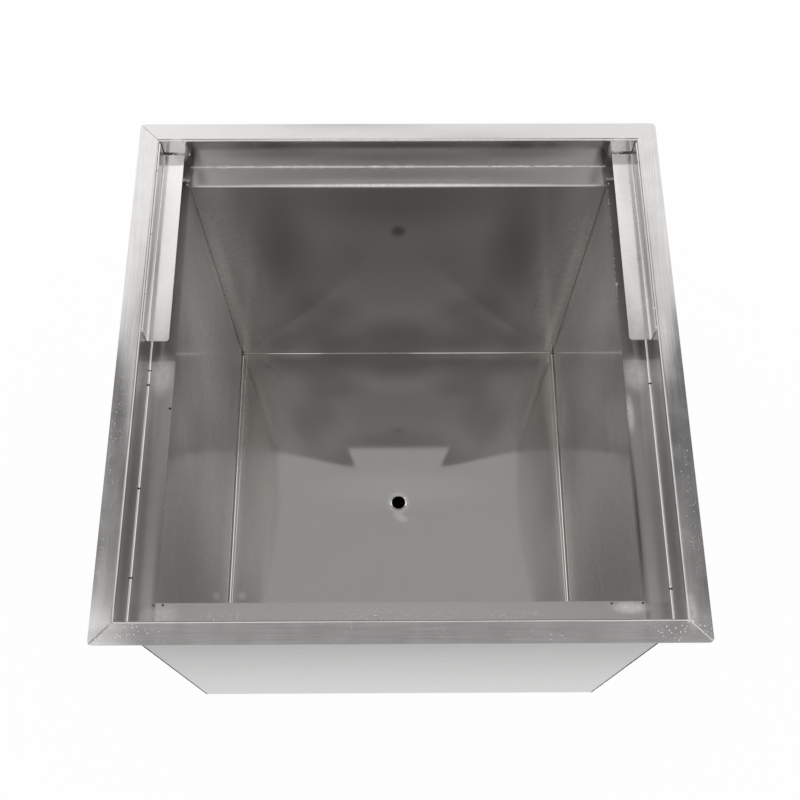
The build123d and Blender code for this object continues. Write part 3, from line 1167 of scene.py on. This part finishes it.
    def build(self) -> None:
        """Builds and dresses the well."""
        settle(self.wrap(), ROLLED_WRAP, ["liner_wrap"])
        settle(self.corner_tabs(), ROLLED_WRAP)
        back = self.end_panel("rolled_liner_back", Side.AS_DRAWN, LEDGE_BEND, 3)
        settle(back, ROLLED_END, ["liner_back"])
        front = self.end_panel("rolled_liner_front", Side.MIRRORED, None, 4)
        settle(front, ROLLED_END, ["liner_front"])


@dataclass
class CoverRails:
    """Angle rails over the back half of the side ledges."""

    step: float = 6 * MM
    bow: float = 0.08 * MM
    bow_span: float = 45 * MM

    def rail(self, name: str, side: Side, seed: int) -> bpy.types.Object:
        """Builds one rail in its solid's place.

        Args:
            name: Name of the piece.
            side: Whether it is mirrored to the left.
            seed: Seed of its bow.

        Returns:
            The piece.
        """
        low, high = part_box("lid_rail_right")
        plate_z = low.z + RAIL_SHEET
        line = [(low.x, plate_z), (high.x - RAIL_SHEET, plate_z), (high.x - RAIL_SHEET, high.z)]
        rows = face_stations(line, [RAIL_BEND], RAIL_SHEET, self.step / 3)

        def ends(place: Vector) -> tuple[float, float]:
            """Start and end of a row, rounded at the free front corner."""
            past = max(0.0, low.x + RAIL_CORNER - place.x)
            return low.y + RAIL_CORNER - math.sqrt(max(0.0, RAIL_CORNER ** 2 - past ** 2)), high.y

        return FoldedSheet(
            name, rows, RAIL_SHEET, Run.SIDE, spaced([0.0, 1.0], self.step / (high.y - low.y)), ends,
            side=side, bow=self.bow, bow_span=self.bow_span, seed=seed,
        ).build()

    def build(self) -> None:
        """Builds and dresses both rails."""
        for name, side, seed in (("lid_rail_right", Side.AS_DRAWN, 8), ("lid_rail_left", Side.MIRRORED, 9)):
            settle(self.rail("bright_" + name, side, seed), BRIGHT_RAIL, [name])


class WeldKind(Enum):
    """How a tree lays its beads on the guide."""

    RUN = "close together along its edges"
    DOTS = "one on each of its points"


@functools.cache
def weld_tree(kind: WeldKind) -> Tree:
    """Builds a tree that lays uneven beads along a path or on single points.

    Args:
        kind: Where the beads go.

    Returns:
        The tree, with named inputs for its sizes.
    """
    tree = bpy.data.node_groups.new("weld_" + kind.name.lower(), "GeometryNodeTree")
    for label, socket in (
        ("Guide", "NodeSocketGeometry"), ("Spacing", "NodeSocketFloat"), ("Bead Radius", "NodeSocketFloat"),
        ("Unevenness", "NodeSocketFloat"), ("Drift", "NodeSocketFloat"), ("Seed", "NodeSocketInt"),
        ("Metal", "NodeSocketMaterial"),
    ):
        tree.interface.new_socket(label, in_out="INPUT", socket_type=socket)
    tree.interface.new_socket("Weld", in_out="OUTPUT", socket_type="NodeSocketGeometry")
    given = add_node(tree, "NodeGroupInput").outputs
    if kind is WeldKind.RUN:
        path = add_node(tree, "GeometryNodeMeshToCurve", {"Mesh": given["Guide"]})
        points = add_node(tree, "GeometryNodeResampleCurve", {
            "Curve": path, "Length": given["Spacing"],
        }, mode="LENGTH")
    else:
        points = add_node(tree, "GeometryNodeMeshToPoints", {"Mesh": given["Guide"]})
    stray = add_node(tree, "FunctionNodeRandomValue", {
        0: (-1.0, -1.0, -1.0), 1: (1.0, 1.0, 1.0), "Seed": given["Seed"],
    }, data_type="FLOAT_VECTOR").outputs[0]
    shift = add_node(tree, "ShaderNodeVectorMath", {0: stray, "Scale": given["Drift"]}, operation="SCALE")
    moved = add_node(tree, "GeometryNodeSetPosition", {"Geometry": points, "Offset": shift})
    shape = add_node(tree, "ShaderNodeVectorMath", {
        0: stray, 1: given["Unevenness"], 2: (1.0, 1.0, 1.0),
    }, operation="MULTIPLY_ADD")
    size = add_node(tree, "ShaderNodeVectorMath", {
        0: shape, "Scale": given["Bead Radius"],
    }, operation="SCALE")
    bead = add_node(tree, "GeometryNodeMeshUVSphere", {"Segments": 7, "Rings": 5, "Radius": 1.0})
    smooth = add_node(tree, "GeometryNodeSetShadeSmooth", {"Geometry": bead})
    beads = add_node(tree, "GeometryNodeInstanceOnPoints", {
        "Points": moved, "Instance": smooth, "Scale": size,
    })
    real = add_node(tree, "GeometryNodeRealizeInstances", {"Geometry": beads})
    metal = add_node(tree, "GeometryNodeSetMaterial", {"Geometry": real, "Material": given["Metal"]})
    add_node(tree, "NodeGroupOutput", {"Weld": metal})
    return tree


@dataclass(frozen=True)
class Bead:
    """Size and unevenness of a weld's beads."""

    radius: float
    spacing: float = 1.2 * MM
    unevenness: float = 0.4
    drift: float = 0.3 * MM
    seed: int = 3


@dataclass
class Welds:
    """Weld runs, ground fillets, mitre ridges and tack marks on the seams."""

    sizes: BinSizes
    mitre_end: float = 1.5 * MM  # a mitre's weld stops this far from its ends
    corner_top: float = 6 * MM  # top of a shell corner's weld below the rim
    corner_foot: float = 1 * MM  # its foot above the ground
    bite: float = 0.1 * MM  # how far it sinks in
    floor_gap: float = 4 * MM  # welds of the back panel stop this far from the floor's bends
    ledge_gap: float = 3 * MM  # top of the back corners' welds below the ledge
    edge_bite: float = 0.6 * MM  # how far the right ledge's weld lies in from its edge
    rear_end: float = 250 * MM  # where the side ledges' welds stop at the back
    edge_front: float = 95 * MM  # where the one on the right ledge's edge stops at the front
    proud: float = 0.5 * MM  # how far the back ledge's weld lies out of its corner
    seam_gap: float = 1 * MM  # the floor's side seams stop this far from the end panels
    fillet_skin: float = 0.1 * MM
    fillet_bite: float = 0.05 * MM
    fillet_step: float = 4 * MM
    fillet_ripple: float = 9 * MM  # length of its unevenness
    fillet_noise: float = 52.7  # where the unevenness is read from the noise
    side_tilt: float = math.radians(22)
    back_tilt: float = math.radians(32)
    lip_tilt: float = math.radians(13)
    bore: float = 10.35 * MM  # radius of the drain's throat
    lip_start: float = 0.2 * MM  # from the bore
    lip_stop: float = 2.6 * MM
    lip_sides: int = 48

    def lay(
        self,
        name: str,
        points: Sequence[tuple[float, float, float]],
        finish: PlainFinish,
        bead: Bead,
        kind: WeldKind = WeldKind.RUN,
    ) -> None:
        """Lays one weld and turns it to a plain mesh.

        Args:
            name: Name of the piece.
            points: Points that it follows, or that its dots lie on.
            finish: The weld's finish.
            bead: Size of its beads.
            kind: A run or single dots.
        """
        tree = weld_tree(kind)
        edges = [(index, index + 1) for index in range(len(points) - 1)] if kind is WeldKind.RUN else []
        data = bpy.data.meshes.new(name + "_guide")
        data.from_pydata([Vector(point) for point in points], edges, [])
        guide = linked(name + "_guide", data)
        layer = guide.modifiers.new("weld", "NODES")
        layer.node_group = tree
        values = {
            "Spacing": bead.spacing, "Bead Radius": bead.radius, "Unevenness": bead.unevenness,
            "Drift": bead.drift, "Seed": bead.seed, "Metal": material_of(finish),
        }
        for item in tree.interface.items_tree:
            if item.in_out == "INPUT" and item.name in values:
                layer[item.identifier] = values[item.name]
        graph = bpy.context.evaluated_depsgraph_get()
        made = bpy.data.meshes.new_from_object(guide.evaluated_get(graph))
        bpy.data.objects.remove(guide)
        bpy.data.meshes.remove(data)
        made.name = name
        settle(linked(name, made), finish)

    def fillet(
        self, name: str, run: Run, side: Side, span: tuple[float, float], radius: float, bow: float = 0.0
    ) -> None:
        """Builds a ground fillet in the corner of the ledge and the outer wall.

        Args:
            name: Name of the piece.
            run: Way that the corner runs.
            side: Whether it is mirrored to the left.
            span: Start and end along the corner.
            radius: Radius of the fillet.
            bow: How uneven it is.
        """
        sizes = self.sizes
        wall = sizes.wall_x if run is Run.SIDE else sizes.wall_y
        inner, low = wall + self.fillet_bite, sizes.ledge_z - self.fillet_bite
        leg = radius + 2 * FOLD_MARGIN
        line = [(inner - leg, low), (inner, low), (inner, low + leg)]
        rows = face_stations(line, [radius], self.fillet_skin, radius)
        shares = spaced([0.0, 1.0], self.fillet_step / (span[1] - span[0]))

        def ends(_: Vector) -> tuple[float, float]:
            """Start and end of a row."""
            return span

        def ripple(_: Vector, along: float) -> float:
            """Height that the unevenness adds."""
            return bow * noise.noise((along / self.fillet_ripple, self.fillet_noise, 0.0))

        piece = FoldedSheet(
            name, rows, self.fillet_skin, run, shares, ends, side=side, relief=ripple,
        ).build()
        settle(piece, GROUND_FILLET)

    def build_rim(self) -> None:
        """Ridges and lines along the rim's mitres, and the seams of the shell's front corners."""
        sizes = self.sizes
        for name, flip_x, flip_y, finish, bead, sunk in (
            ("front_left", -1, -1, DULL_WELD, Bead(0.9 * MM, 0.9 * MM, 0.4, 0.3 * MM, 11), 0.1 * MM),
            ("front_right", 1, -1, BRIGHT_WELD, Bead(0.7 * MM, 0.6 * MM, 0.4, 0.25 * MM, 12), 0.1 * MM),
            ("rear_left", -1, 1, BURNT_WELD, Bead(0.35 * MM, 0.5 * MM, 0.3, 0.1 * MM, 13), 0.2 * MM),
            ("rear_right", 1, 1, BRIGHT_WELD, Bead(0.35 * MM, 0.5 * MM, 0.3, 0.1 * MM, 14), 0.3 * MM),
        ):
            inner = (sizes.wall_x + self.mitre_end, sizes.wall_y + self.mitre_end)
            outer = (sizes.rim_x - self.mitre_end, sizes.rim_y - self.mitre_end)
            self.lay(f"weld_mitre_{name}", [
                (flip_x * across, flip_y * along, sizes.rim_z - sunk) for across, along in (inner, outer)
            ], finish, bead)
        out = SHELL_SHEET - self.bite
        for name, flip in (("left", -1), ("right", 1)):
            self.lay(f"weld_shell_corner_{name}", [
                (flip * (sizes.wall_x + out), -sizes.wall_y - out, up)
                for up in (sizes.rim_z - self.corner_top, self.corner_foot)
            ], BURNT_WELD, Bead(0.6 * MM, 1.0 * MM, 0.4, 0.2 * MM, 15))

    @staticmethod
    def swept(name: str, sections: Sequence[Sequence[Vector]], looped: bool) -> bpy.types.Object:
        """Closed mesh through a row of like sections.

        Args:
            name: Name of the piece.
            sections: Corners of each section, in the same order.
            looped: Whether the last section joins the first, or both ends are capped.

        Returns:
            The piece, linked to the scene.
        """
        mesh = bmesh.new()
        rings = [[mesh.verts.new(corner) for corner in section] for section in sections]
        pairs = list(zip(rings, rings[1:]))
        if looped:
            pairs.append((rings[-1], rings[0]))
        else:
            mesh.faces.new(rings[0])
            mesh.faces.new(rings[-1])
        for ring, other in pairs:
            for index in range(len(ring)):
                after = (index + 1) % len(ring)
                mesh.faces.new((ring[index], ring[after], other[after], other[index]))
        bmesh.ops.recalc_face_normals(mesh, faces=mesh.faces[:])
        return meshed(name, mesh)

    def ridge(self, name: str, ends: Sequence[Vector], facing: Vector, rise: float, width: float) -> None:
        """Builds a low ground ridge with one broad face tilted towards the middle of the well.

        Args:
            name: Name of the piece.
            ends: Both ends of its foot.
            facing: Level direction that the broad face looks in.
            rise: Tilt of the broad face.
            width: Level width of the broad face.
        """
        crest = Vector((0.0, 0.0, width * math.tan(rise)))
        sections = [[spot + facing * width, spot + crest, spot - facing * width / 4] for spot in ends]
        settle(self.swept(name, sections, False), GROUND_SEAM)

    def build_seams(self) -> None:
        """Thin ground lines along the floor's edges, which catch light where a flat line would not."""
        sizes = self.sizes
        reach = sizes.liner_y - self.seam_gap
        for name, flip in (("left", -1), ("right", 1)):
            inward = Vector((-flip, 0.0, 0.0))
            for line, rear, front, up, width in (
                ("wall", 1.5 * MM, 1.5 * MM, 0.4 * MM, 0.8 * MM),
                ("floor", 8 * MM, 4 * MM, -0.05 * MM, 0.5 * MM),
            ):
                ends = [
                    Vector((flip * (sizes.liner_x - inset), along, sizes.floor_z + up))
                    for inset, along in ((front, -reach), (rear, reach))
                ]
                self.ridge(f"seam_{name}_{line}", ends, inward, self.side_tilt, width)
        foot_y, foot_z = sizes.liner_y - 0.5 * MM, sizes.floor_z - 0.05 * MM
        for name, low, high, width in (
            ("whole", -249 * MM, 249 * MM, 0.3 * MM),
            ("left", -215 * MM, -125 * MM, 0.7 * MM),
            ("right", 20 * MM, 246 * MM, 0.7 * MM),
        ):
            ends = [Vector((across, foot_y, foot_z)) for across in (low, high)]
            self.ridge(f"seam_back_{name}", ends, Vector((0.0, -1.0, 0.0)), self.back_tilt, width)

    def build_lip(self) -> None:
        """Dished lip round the drain."""
        inner, outer = self.bore + self.lip_start, self.bore + self.lip_stop
        rim = (outer - inner) * math.tan(self.lip_tilt)
        # Radius and height of the lip's inner edge, its crest and its outer foot
        profile = ((inner, 0.05 * MM), (outer, rim), (outer + 0.5 * MM, -0.2 * MM))
        sections = []
        for index in range(self.lip_sides):
            turn = 2 * math.pi * index / self.lip_sides
            ray = Vector((math.cos(turn), math.sin(turn), 0.0))
            sections.append([
                ray * radius + Vector((0.0, 0.0, self.sizes.drain_z + up)) for radius, up in profile
            ])
        settle(self.swept("drain_lip", sections, True), TURNED_STEEL)

    def build_tacks(self) -> None:
        """Dark pits and bright beads that the tack welds left."""
        ledge, floor = self.sizes.ledge_z, self.sizes.floor_z
        by_wall = self.sizes.wall_x - 1 * MM
        by_edge = self.sizes.liner_x + 2 * MM
        in_corner = self.sizes.liner_x - 2 * MM
        front_y, rear_y = -257 * MM, 253 * MM
        pits = [(-by_wall, along * MM, ledge) for along in (10, -8, -130, -228)]
        pits += [(by_wall, along * MM, ledge) for along in (-8, -242)]
        pits += [(-by_edge, along, ledge) for along in (-37 * MM, front_y)]
        pits += [(across * MM, front_y, ledge) for across in (-247.5, 220, 253)]
        pits += [(across, rear_y, floor + 1 * MM) for across in (-in_corner, in_corner)]
        pit = Bead(1.2 * MM, unevenness=0.3, seed=21)
        self.lay("tack_pits", pits, BLACK_PIT, pit, WeldKind.DOTS)
        rail_y, rail_z = 282 * MM, 546 * MM
        beads = [(across * MM, rail_y, rail_z) for across in (-272, -263.7, 265.9, -252)]
        on_ledge = ((-258, 258), (-258, 263), (258, 258), (256, 120), (256, 118), (257, -38))
        beads += [(across * MM, along * MM, ledge) for across, along in on_ledge]
        on_rim = (
            (285.5, -285, 571.6), (287.5, -286.5, 571.4), (283.5, -286, 571.4), (-286, -286, 571.2),
            (-290, -289, 571),
        )
        beads += [(across * MM, along * MM, up * MM) for across, along, up in on_rim]
        bead = Bead(1.3 * MM, unevenness=0.35, seed=22)
        self.lay("tack_beads", beads, BRIGHT_WELD, bead, WeldKind.DOTS)

    def build(self) -> None:
        """Builds and dresses every weld."""
        sizes = self.sizes
        span = (-sizes.liner_x, sizes.liner_x)
        foot, top = sizes.wall_y - self.proud, sizes.ledge_z + self.proud
        self.lay("weld_back_ledge", [
            (across, foot, top) for across in span
        ], BRIGHT_WELD, Bead(0.7 * MM, 1.6 * MM, 0.6, 0.5 * MM, 7))
        half = sizes.liner_x - self.floor_gap
        self.lay("weld_back_floor", [
            (across, sizes.liner_y, sizes.floor_z) for across in (-half, half)
        ], BRIGHT_WELD, Bead(0.6 * MM, 0.8 * MM, 0.5, 0.25 * MM, 6))
        for name, side, flip in (("left", Side.MIRRORED, -1), ("right", Side.AS_DRAWN, 1)):
            self.lay(f"weld_back_corner_{name}", [
                (flip * sizes.liner_x, sizes.liner_y, up)
                for up in (sizes.ledge_z - self.ledge_gap, sizes.floor_z + self.floor_gap)
            ], BURNT_WELD, Bead(0.6 * MM))
            self.fillet(f"fillet_{name}_ledge", Run.SIDE, side, (-sizes.wall_y, self.rear_end), 1.6 * MM)
        self.fillet("fillet_back_ledge", Run.END, Side.AS_DRAWN, span, 1.8 * MM, 0.15 * MM)
        self.lay("weld_right_ledge_edge", [
            (sizes.liner_x + self.edge_bite, along, sizes.ledge_z - self.edge_bite)
            for along in (self.rear_end, self.edge_front)
        ], BRIGHT_WELD, Bead(0.5 * MM, 0.8 * MM, 0.6, 0.35 * MM, 5))
        self.build_rim()
        self.build_seams()
        self.build_lip()
        self.build_tacks()


@dataclass(frozen=True)
class Fade:
    """Brightness that changes outwards from a place, where 1 is white."""

    near: float
    far: float
    start: float
    stop: float
    centre: tuple[float, float, float] = (0.0, 0.0, 0.0)
    axes: tuple[float, float, float] = (1.0, 1.0, 0.0)

    def level(self, tree: Tree) -> Socket:
        """Adds the nodes that give the brightness of a point.

        Args:
            tree: The material's tree.

        Returns:
            The brightness.
        """
        place = add_node(tree, "ShaderNodeTexCoord")
        away = add_node(tree, "ShaderNodeVectorMath", {
            0: place.outputs["Object"], 1: self.centre,
        }, operation="SUBTRACT")
        kept = add_node(tree, "ShaderNodeVectorMath", {0: away, 1: self.axes}, operation="MULTIPLY")
        reach = add_node(tree, "ShaderNodeVectorMath", {0: kept}, operation="LENGTH")
        return add_node(tree, "ShaderNodeMapRange", {
            "Value": reach.outputs["Value"], "From Min": self.start, "From Max": self.stop,
            "To Min": self.near, "To Max": self.far,
        }, interpolation_type="SMOOTHSTEP").outputs[0]


CEILING_Z = 5.0
OVAL = (1.366, 1.0, 0.0)  # the ceiling's shading is narrower in X than in Y
# Grey cloth over the bin with a white surround, and the lamps that shine through it
CEILING_LIGHT = {
    "grey cloth, darker outwards": Fade(0.45, 0.17, 1.85, 2.45, (0.0, 0.35, CEILING_Z), OVAL),
    "white surround": Fade(0.0, 0.74, 2.8, 3.2, (0.04, -0.1, CEILING_Z), OVAL),
    "outer part of the surround": Fade(0.0, 0.26, 3.1, 3.9, (0.04, -0.1, CEILING_Z), OVAL),
    "left end of the surround": Fade(0.12, 0.0, 0.5, 1.8, (-1.8, 3.0, CEILING_Z)),
    "left lamp": Fade(0.9, 0.0, 0.2, 0.45, (-1.72, 0.36, CEILING_Z)),
    "right lamp": Fade(0.28, 0.0, 0.1, 0.3, (1.65, 0.35, CEILING_Z)),
    "front strip on the left": Fade(1.2, 0.0, 0.7, 1.0, (-1.28, -2.9, CEILING_Z), (7.0, 2.0, 0.0)),
    "front strip on the right": Fade(0.6, 0.0, 0.7, 1.0, (1.28, -2.9, CEILING_Z), (7.0, 2.0, 0.0)),
}
# Brightness of the paper as the outer walls mirror it: full at their foot, less further out
FLOOR_LIGHT = Fade(0.84, 0.5, 0.285, 0.4, axes=(0.0, 1.0, 0.0))


@dataclass
class Studio:
    """Paper floor, lit ceiling, white world and camera."""

    camera_place: tuple[float, float, float] = (-5.7 * MM, -481.0 * MM, 1628.5 * MM)
    camera_pitch: float = math.radians(67.777)
    camera_yaw: float = math.radians(-0.784)
    camera_roll: float = math.radians(0.525)
    lens: float = 48.06
    sensor: float = 36.0
    nearest: float = 0.05
    farthest: float = 100.0
    floor_half: float = 6.0
    floor_level: float = -1.0 * MM
    floor_seen: float = 0.95
    shade_half: float = 0.1
    shade_level: float = -0.5 * MM
    ceiling_half_x: float = 3.6
    ceiling_half_y: float = 4.4
    world_light: float = 1.15

    def flat(self, name: str, half_x: float, half_y: float, z: float) -> bpy.types.Object:
        """Level rectangle of the stage round the middle.

        Args:
            name: Name of the object.
            half_x: Half its size in X.
            half_y: Half its size in Y.
            z: Its level.

        Returns:
            The stage object.
        """
        corners = [(-half_x, -half_y, z), (half_x, -half_y, z), (half_x, half_y, z), (-half_x, half_y, z)]
        data = bpy.data.meshes.new(name)
        data.from_pydata(corners, [], [(0, 1, 2, 3)])
        made = linked(name, data)
        return made

    @staticmethod
    def ray_kinds(tree: Tree) -> tuple[Socket, Socket]:
        """Adds the nodes that tell the kinds of rays apart.

        Args:
            tree: Tree of the world or of a material.

        Returns:
            1 for a ray that comes straight from the camera, and 1 for a mirrored one.
        """
        rays = add_node(tree, "ShaderNodeLightPath").outputs
        direct = add_node(tree, "ShaderNodeMath", {
            0: rays["Is Camera Ray"], 1: rays["Is Transmission Ray"],
        }, operation="MAXIMUM").outputs[0]
        return direct, rays["Is Glossy Ray"]

    def build_world(self) -> None:
        """White surroundings that light the stage at a plain level."""
        world = bpy.data.worlds.new("white_studio")
        world.use_nodes = True
        tree = world.node_tree
        tree.nodes.clear()
        direct, mirrored = self.ray_kinds(tree)
        plain = add_node(tree, "ShaderNodeMath", {0: direct, 1: mirrored}, operation="MAXIMUM")
        level = add_node(tree, "ShaderNodeMapRange", {
            "Value": plain, "To Min": self.world_light, "To Max": 1.0,
        })
        sky = add_node(tree, "ShaderNodeBackground", {"Color": linear("#FFFFFF"), "Strength": level})
        add_node(tree, "ShaderNodeOutputWorld", {"Surface": sky})
        bpy.context.scene.world = world

    def build_floor(self) -> None:
        """Pale floor that keeps a soft shadow, with a dark sheet under the drain that is painted shade in its
        hole.
        """
        floor = self.flat("floor", self.floor_half, self.floor_half, self.floor_level)
        material, tree = new_material("matt_white_paper")
        direct, mirrored = self.ray_kinds(tree)
        seen = add_node(tree, "ShaderNodeMath", {0: direct, 1: self.floor_seen}, operation="MULTIPLY")
        share = add_node(tree, "ShaderNodeMath", {0: seen, 1: mirrored}, operation="MAXIMUM")
        level = add_node(tree, "ShaderNodeMapRange", {
            "Value": mirrored, "To Min": 1.0, "To Max": FLOOR_LIGHT.level(tree),
        })
        matt = add_node(tree, "ShaderNodeBsdfDiffuse", {"Color": linear("#F4F4F4")})
        glow = add_node(tree, "ShaderNodeEmission", {"Color": linear("#FFFFFF"), "Strength": level})
        paper = add_node(tree, "ShaderNodeMixShader", {0: share, 1: matt, 2: glow})
        add_node(tree, "ShaderNodeOutputMaterial", {"Surface": paper})
        floor.data.materials.append(material)
        # Black sheet under the drain: painted shade that makes its hole look dark
        under = self.flat("drain_shade", self.shade_half, self.shade_half, self.shade_level)
        material, tree = new_material("painted_shade_black_sheet")
        matt = add_node(tree, "ShaderNodeBsdfDiffuse", {"Color": linear("#0A0A0A")})
        add_node(tree, "ShaderNodeOutputMaterial", {"Surface": matt})
        under.data.materials.append(material)

    def build_ceiling(self) -> None:
        """Lit cloth over the bin, which is what most of the steel mirrors."""
        cloth = self.flat("ceiling", self.ceiling_half_x, self.ceiling_half_y, CEILING_Z)
        material, tree = new_material("grey_lit_cloth")
        total = summed(tree, [fade.level(tree) for fade in CEILING_LIGHT.values()])
        glow = add_node(tree, "ShaderNodeEmission", {"Color": linear("#FFFFFF"), "Strength": total})
        add_node(tree, "ShaderNodeOutputMaterial", {"Surface": glow})
        cloth.data.materials.append(material)

    def build_camera(self) -> None:
        """Camera at the photograph's place and angle."""
        data = bpy.data.cameras.new("photo_camera")
        data.sensor_width = self.sensor
        data.lens = self.lens
        data.clip_start, data.clip_end = self.nearest, self.farthest
        camera = linked("photo_camera", data)
        turn = Matrix.Rotation(self.camera_yaw, 4, "Z")
        tilt = Matrix.Rotation(math.pi / 2 - self.camera_pitch, 4, "X")
        roll = Matrix.Rotation(self.camera_roll, 4, "Z")
        camera.matrix_world = Matrix.Translation(self.camera_place) @ turn @ tilt @ roll
        bpy.context.scene.camera = camera

    def build(self) -> None:
        """Builds the stage, the light and the camera."""
        self.build_world()
        self.build_floor()
        self.build_ceiling()
        self.build_camera()
        bpy.context.scene.view_settings.view_transform = "Standard"


def dress_solids(nodes: dict[str, bpy.types.Object]) -> None:
    """Gives the solids that stay in view their finishes.

    Args:
        nodes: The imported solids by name.
    """
    finishes = {
        "bottom_pan": PAN_STEEL,
        "drain_coupling": TURNED_STEEL,
        "drain_bush": RUBBER,
        "rail_tacks_left": BRIGHT_WELD,
        "rail_tacks_right": BRIGHT_WELD,
    }
    finishes |= {name: FOAM for name in nodes if name.startswith("insulation")}
    for name, finish in finishes.items():
        nodes[name].data.materials.clear()
        nodes[name].data.materials.append(material_of(finish))
        LOG.info("%s: %s", name, finish.name)


def main() -> None:
    logging.basicConfig(level=logging.INFO, format="%(name)s: %(message)s")
    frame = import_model()
    sizes = BinSizes.from_frame()
    Studio().build()
    Shell(sizes).build()
    Liner(sizes).build()
    CoverRails().build()
    Welds(sizes).build()
    dress_solids(frame["nodes"])


if __name__ == "__main__":
    main()
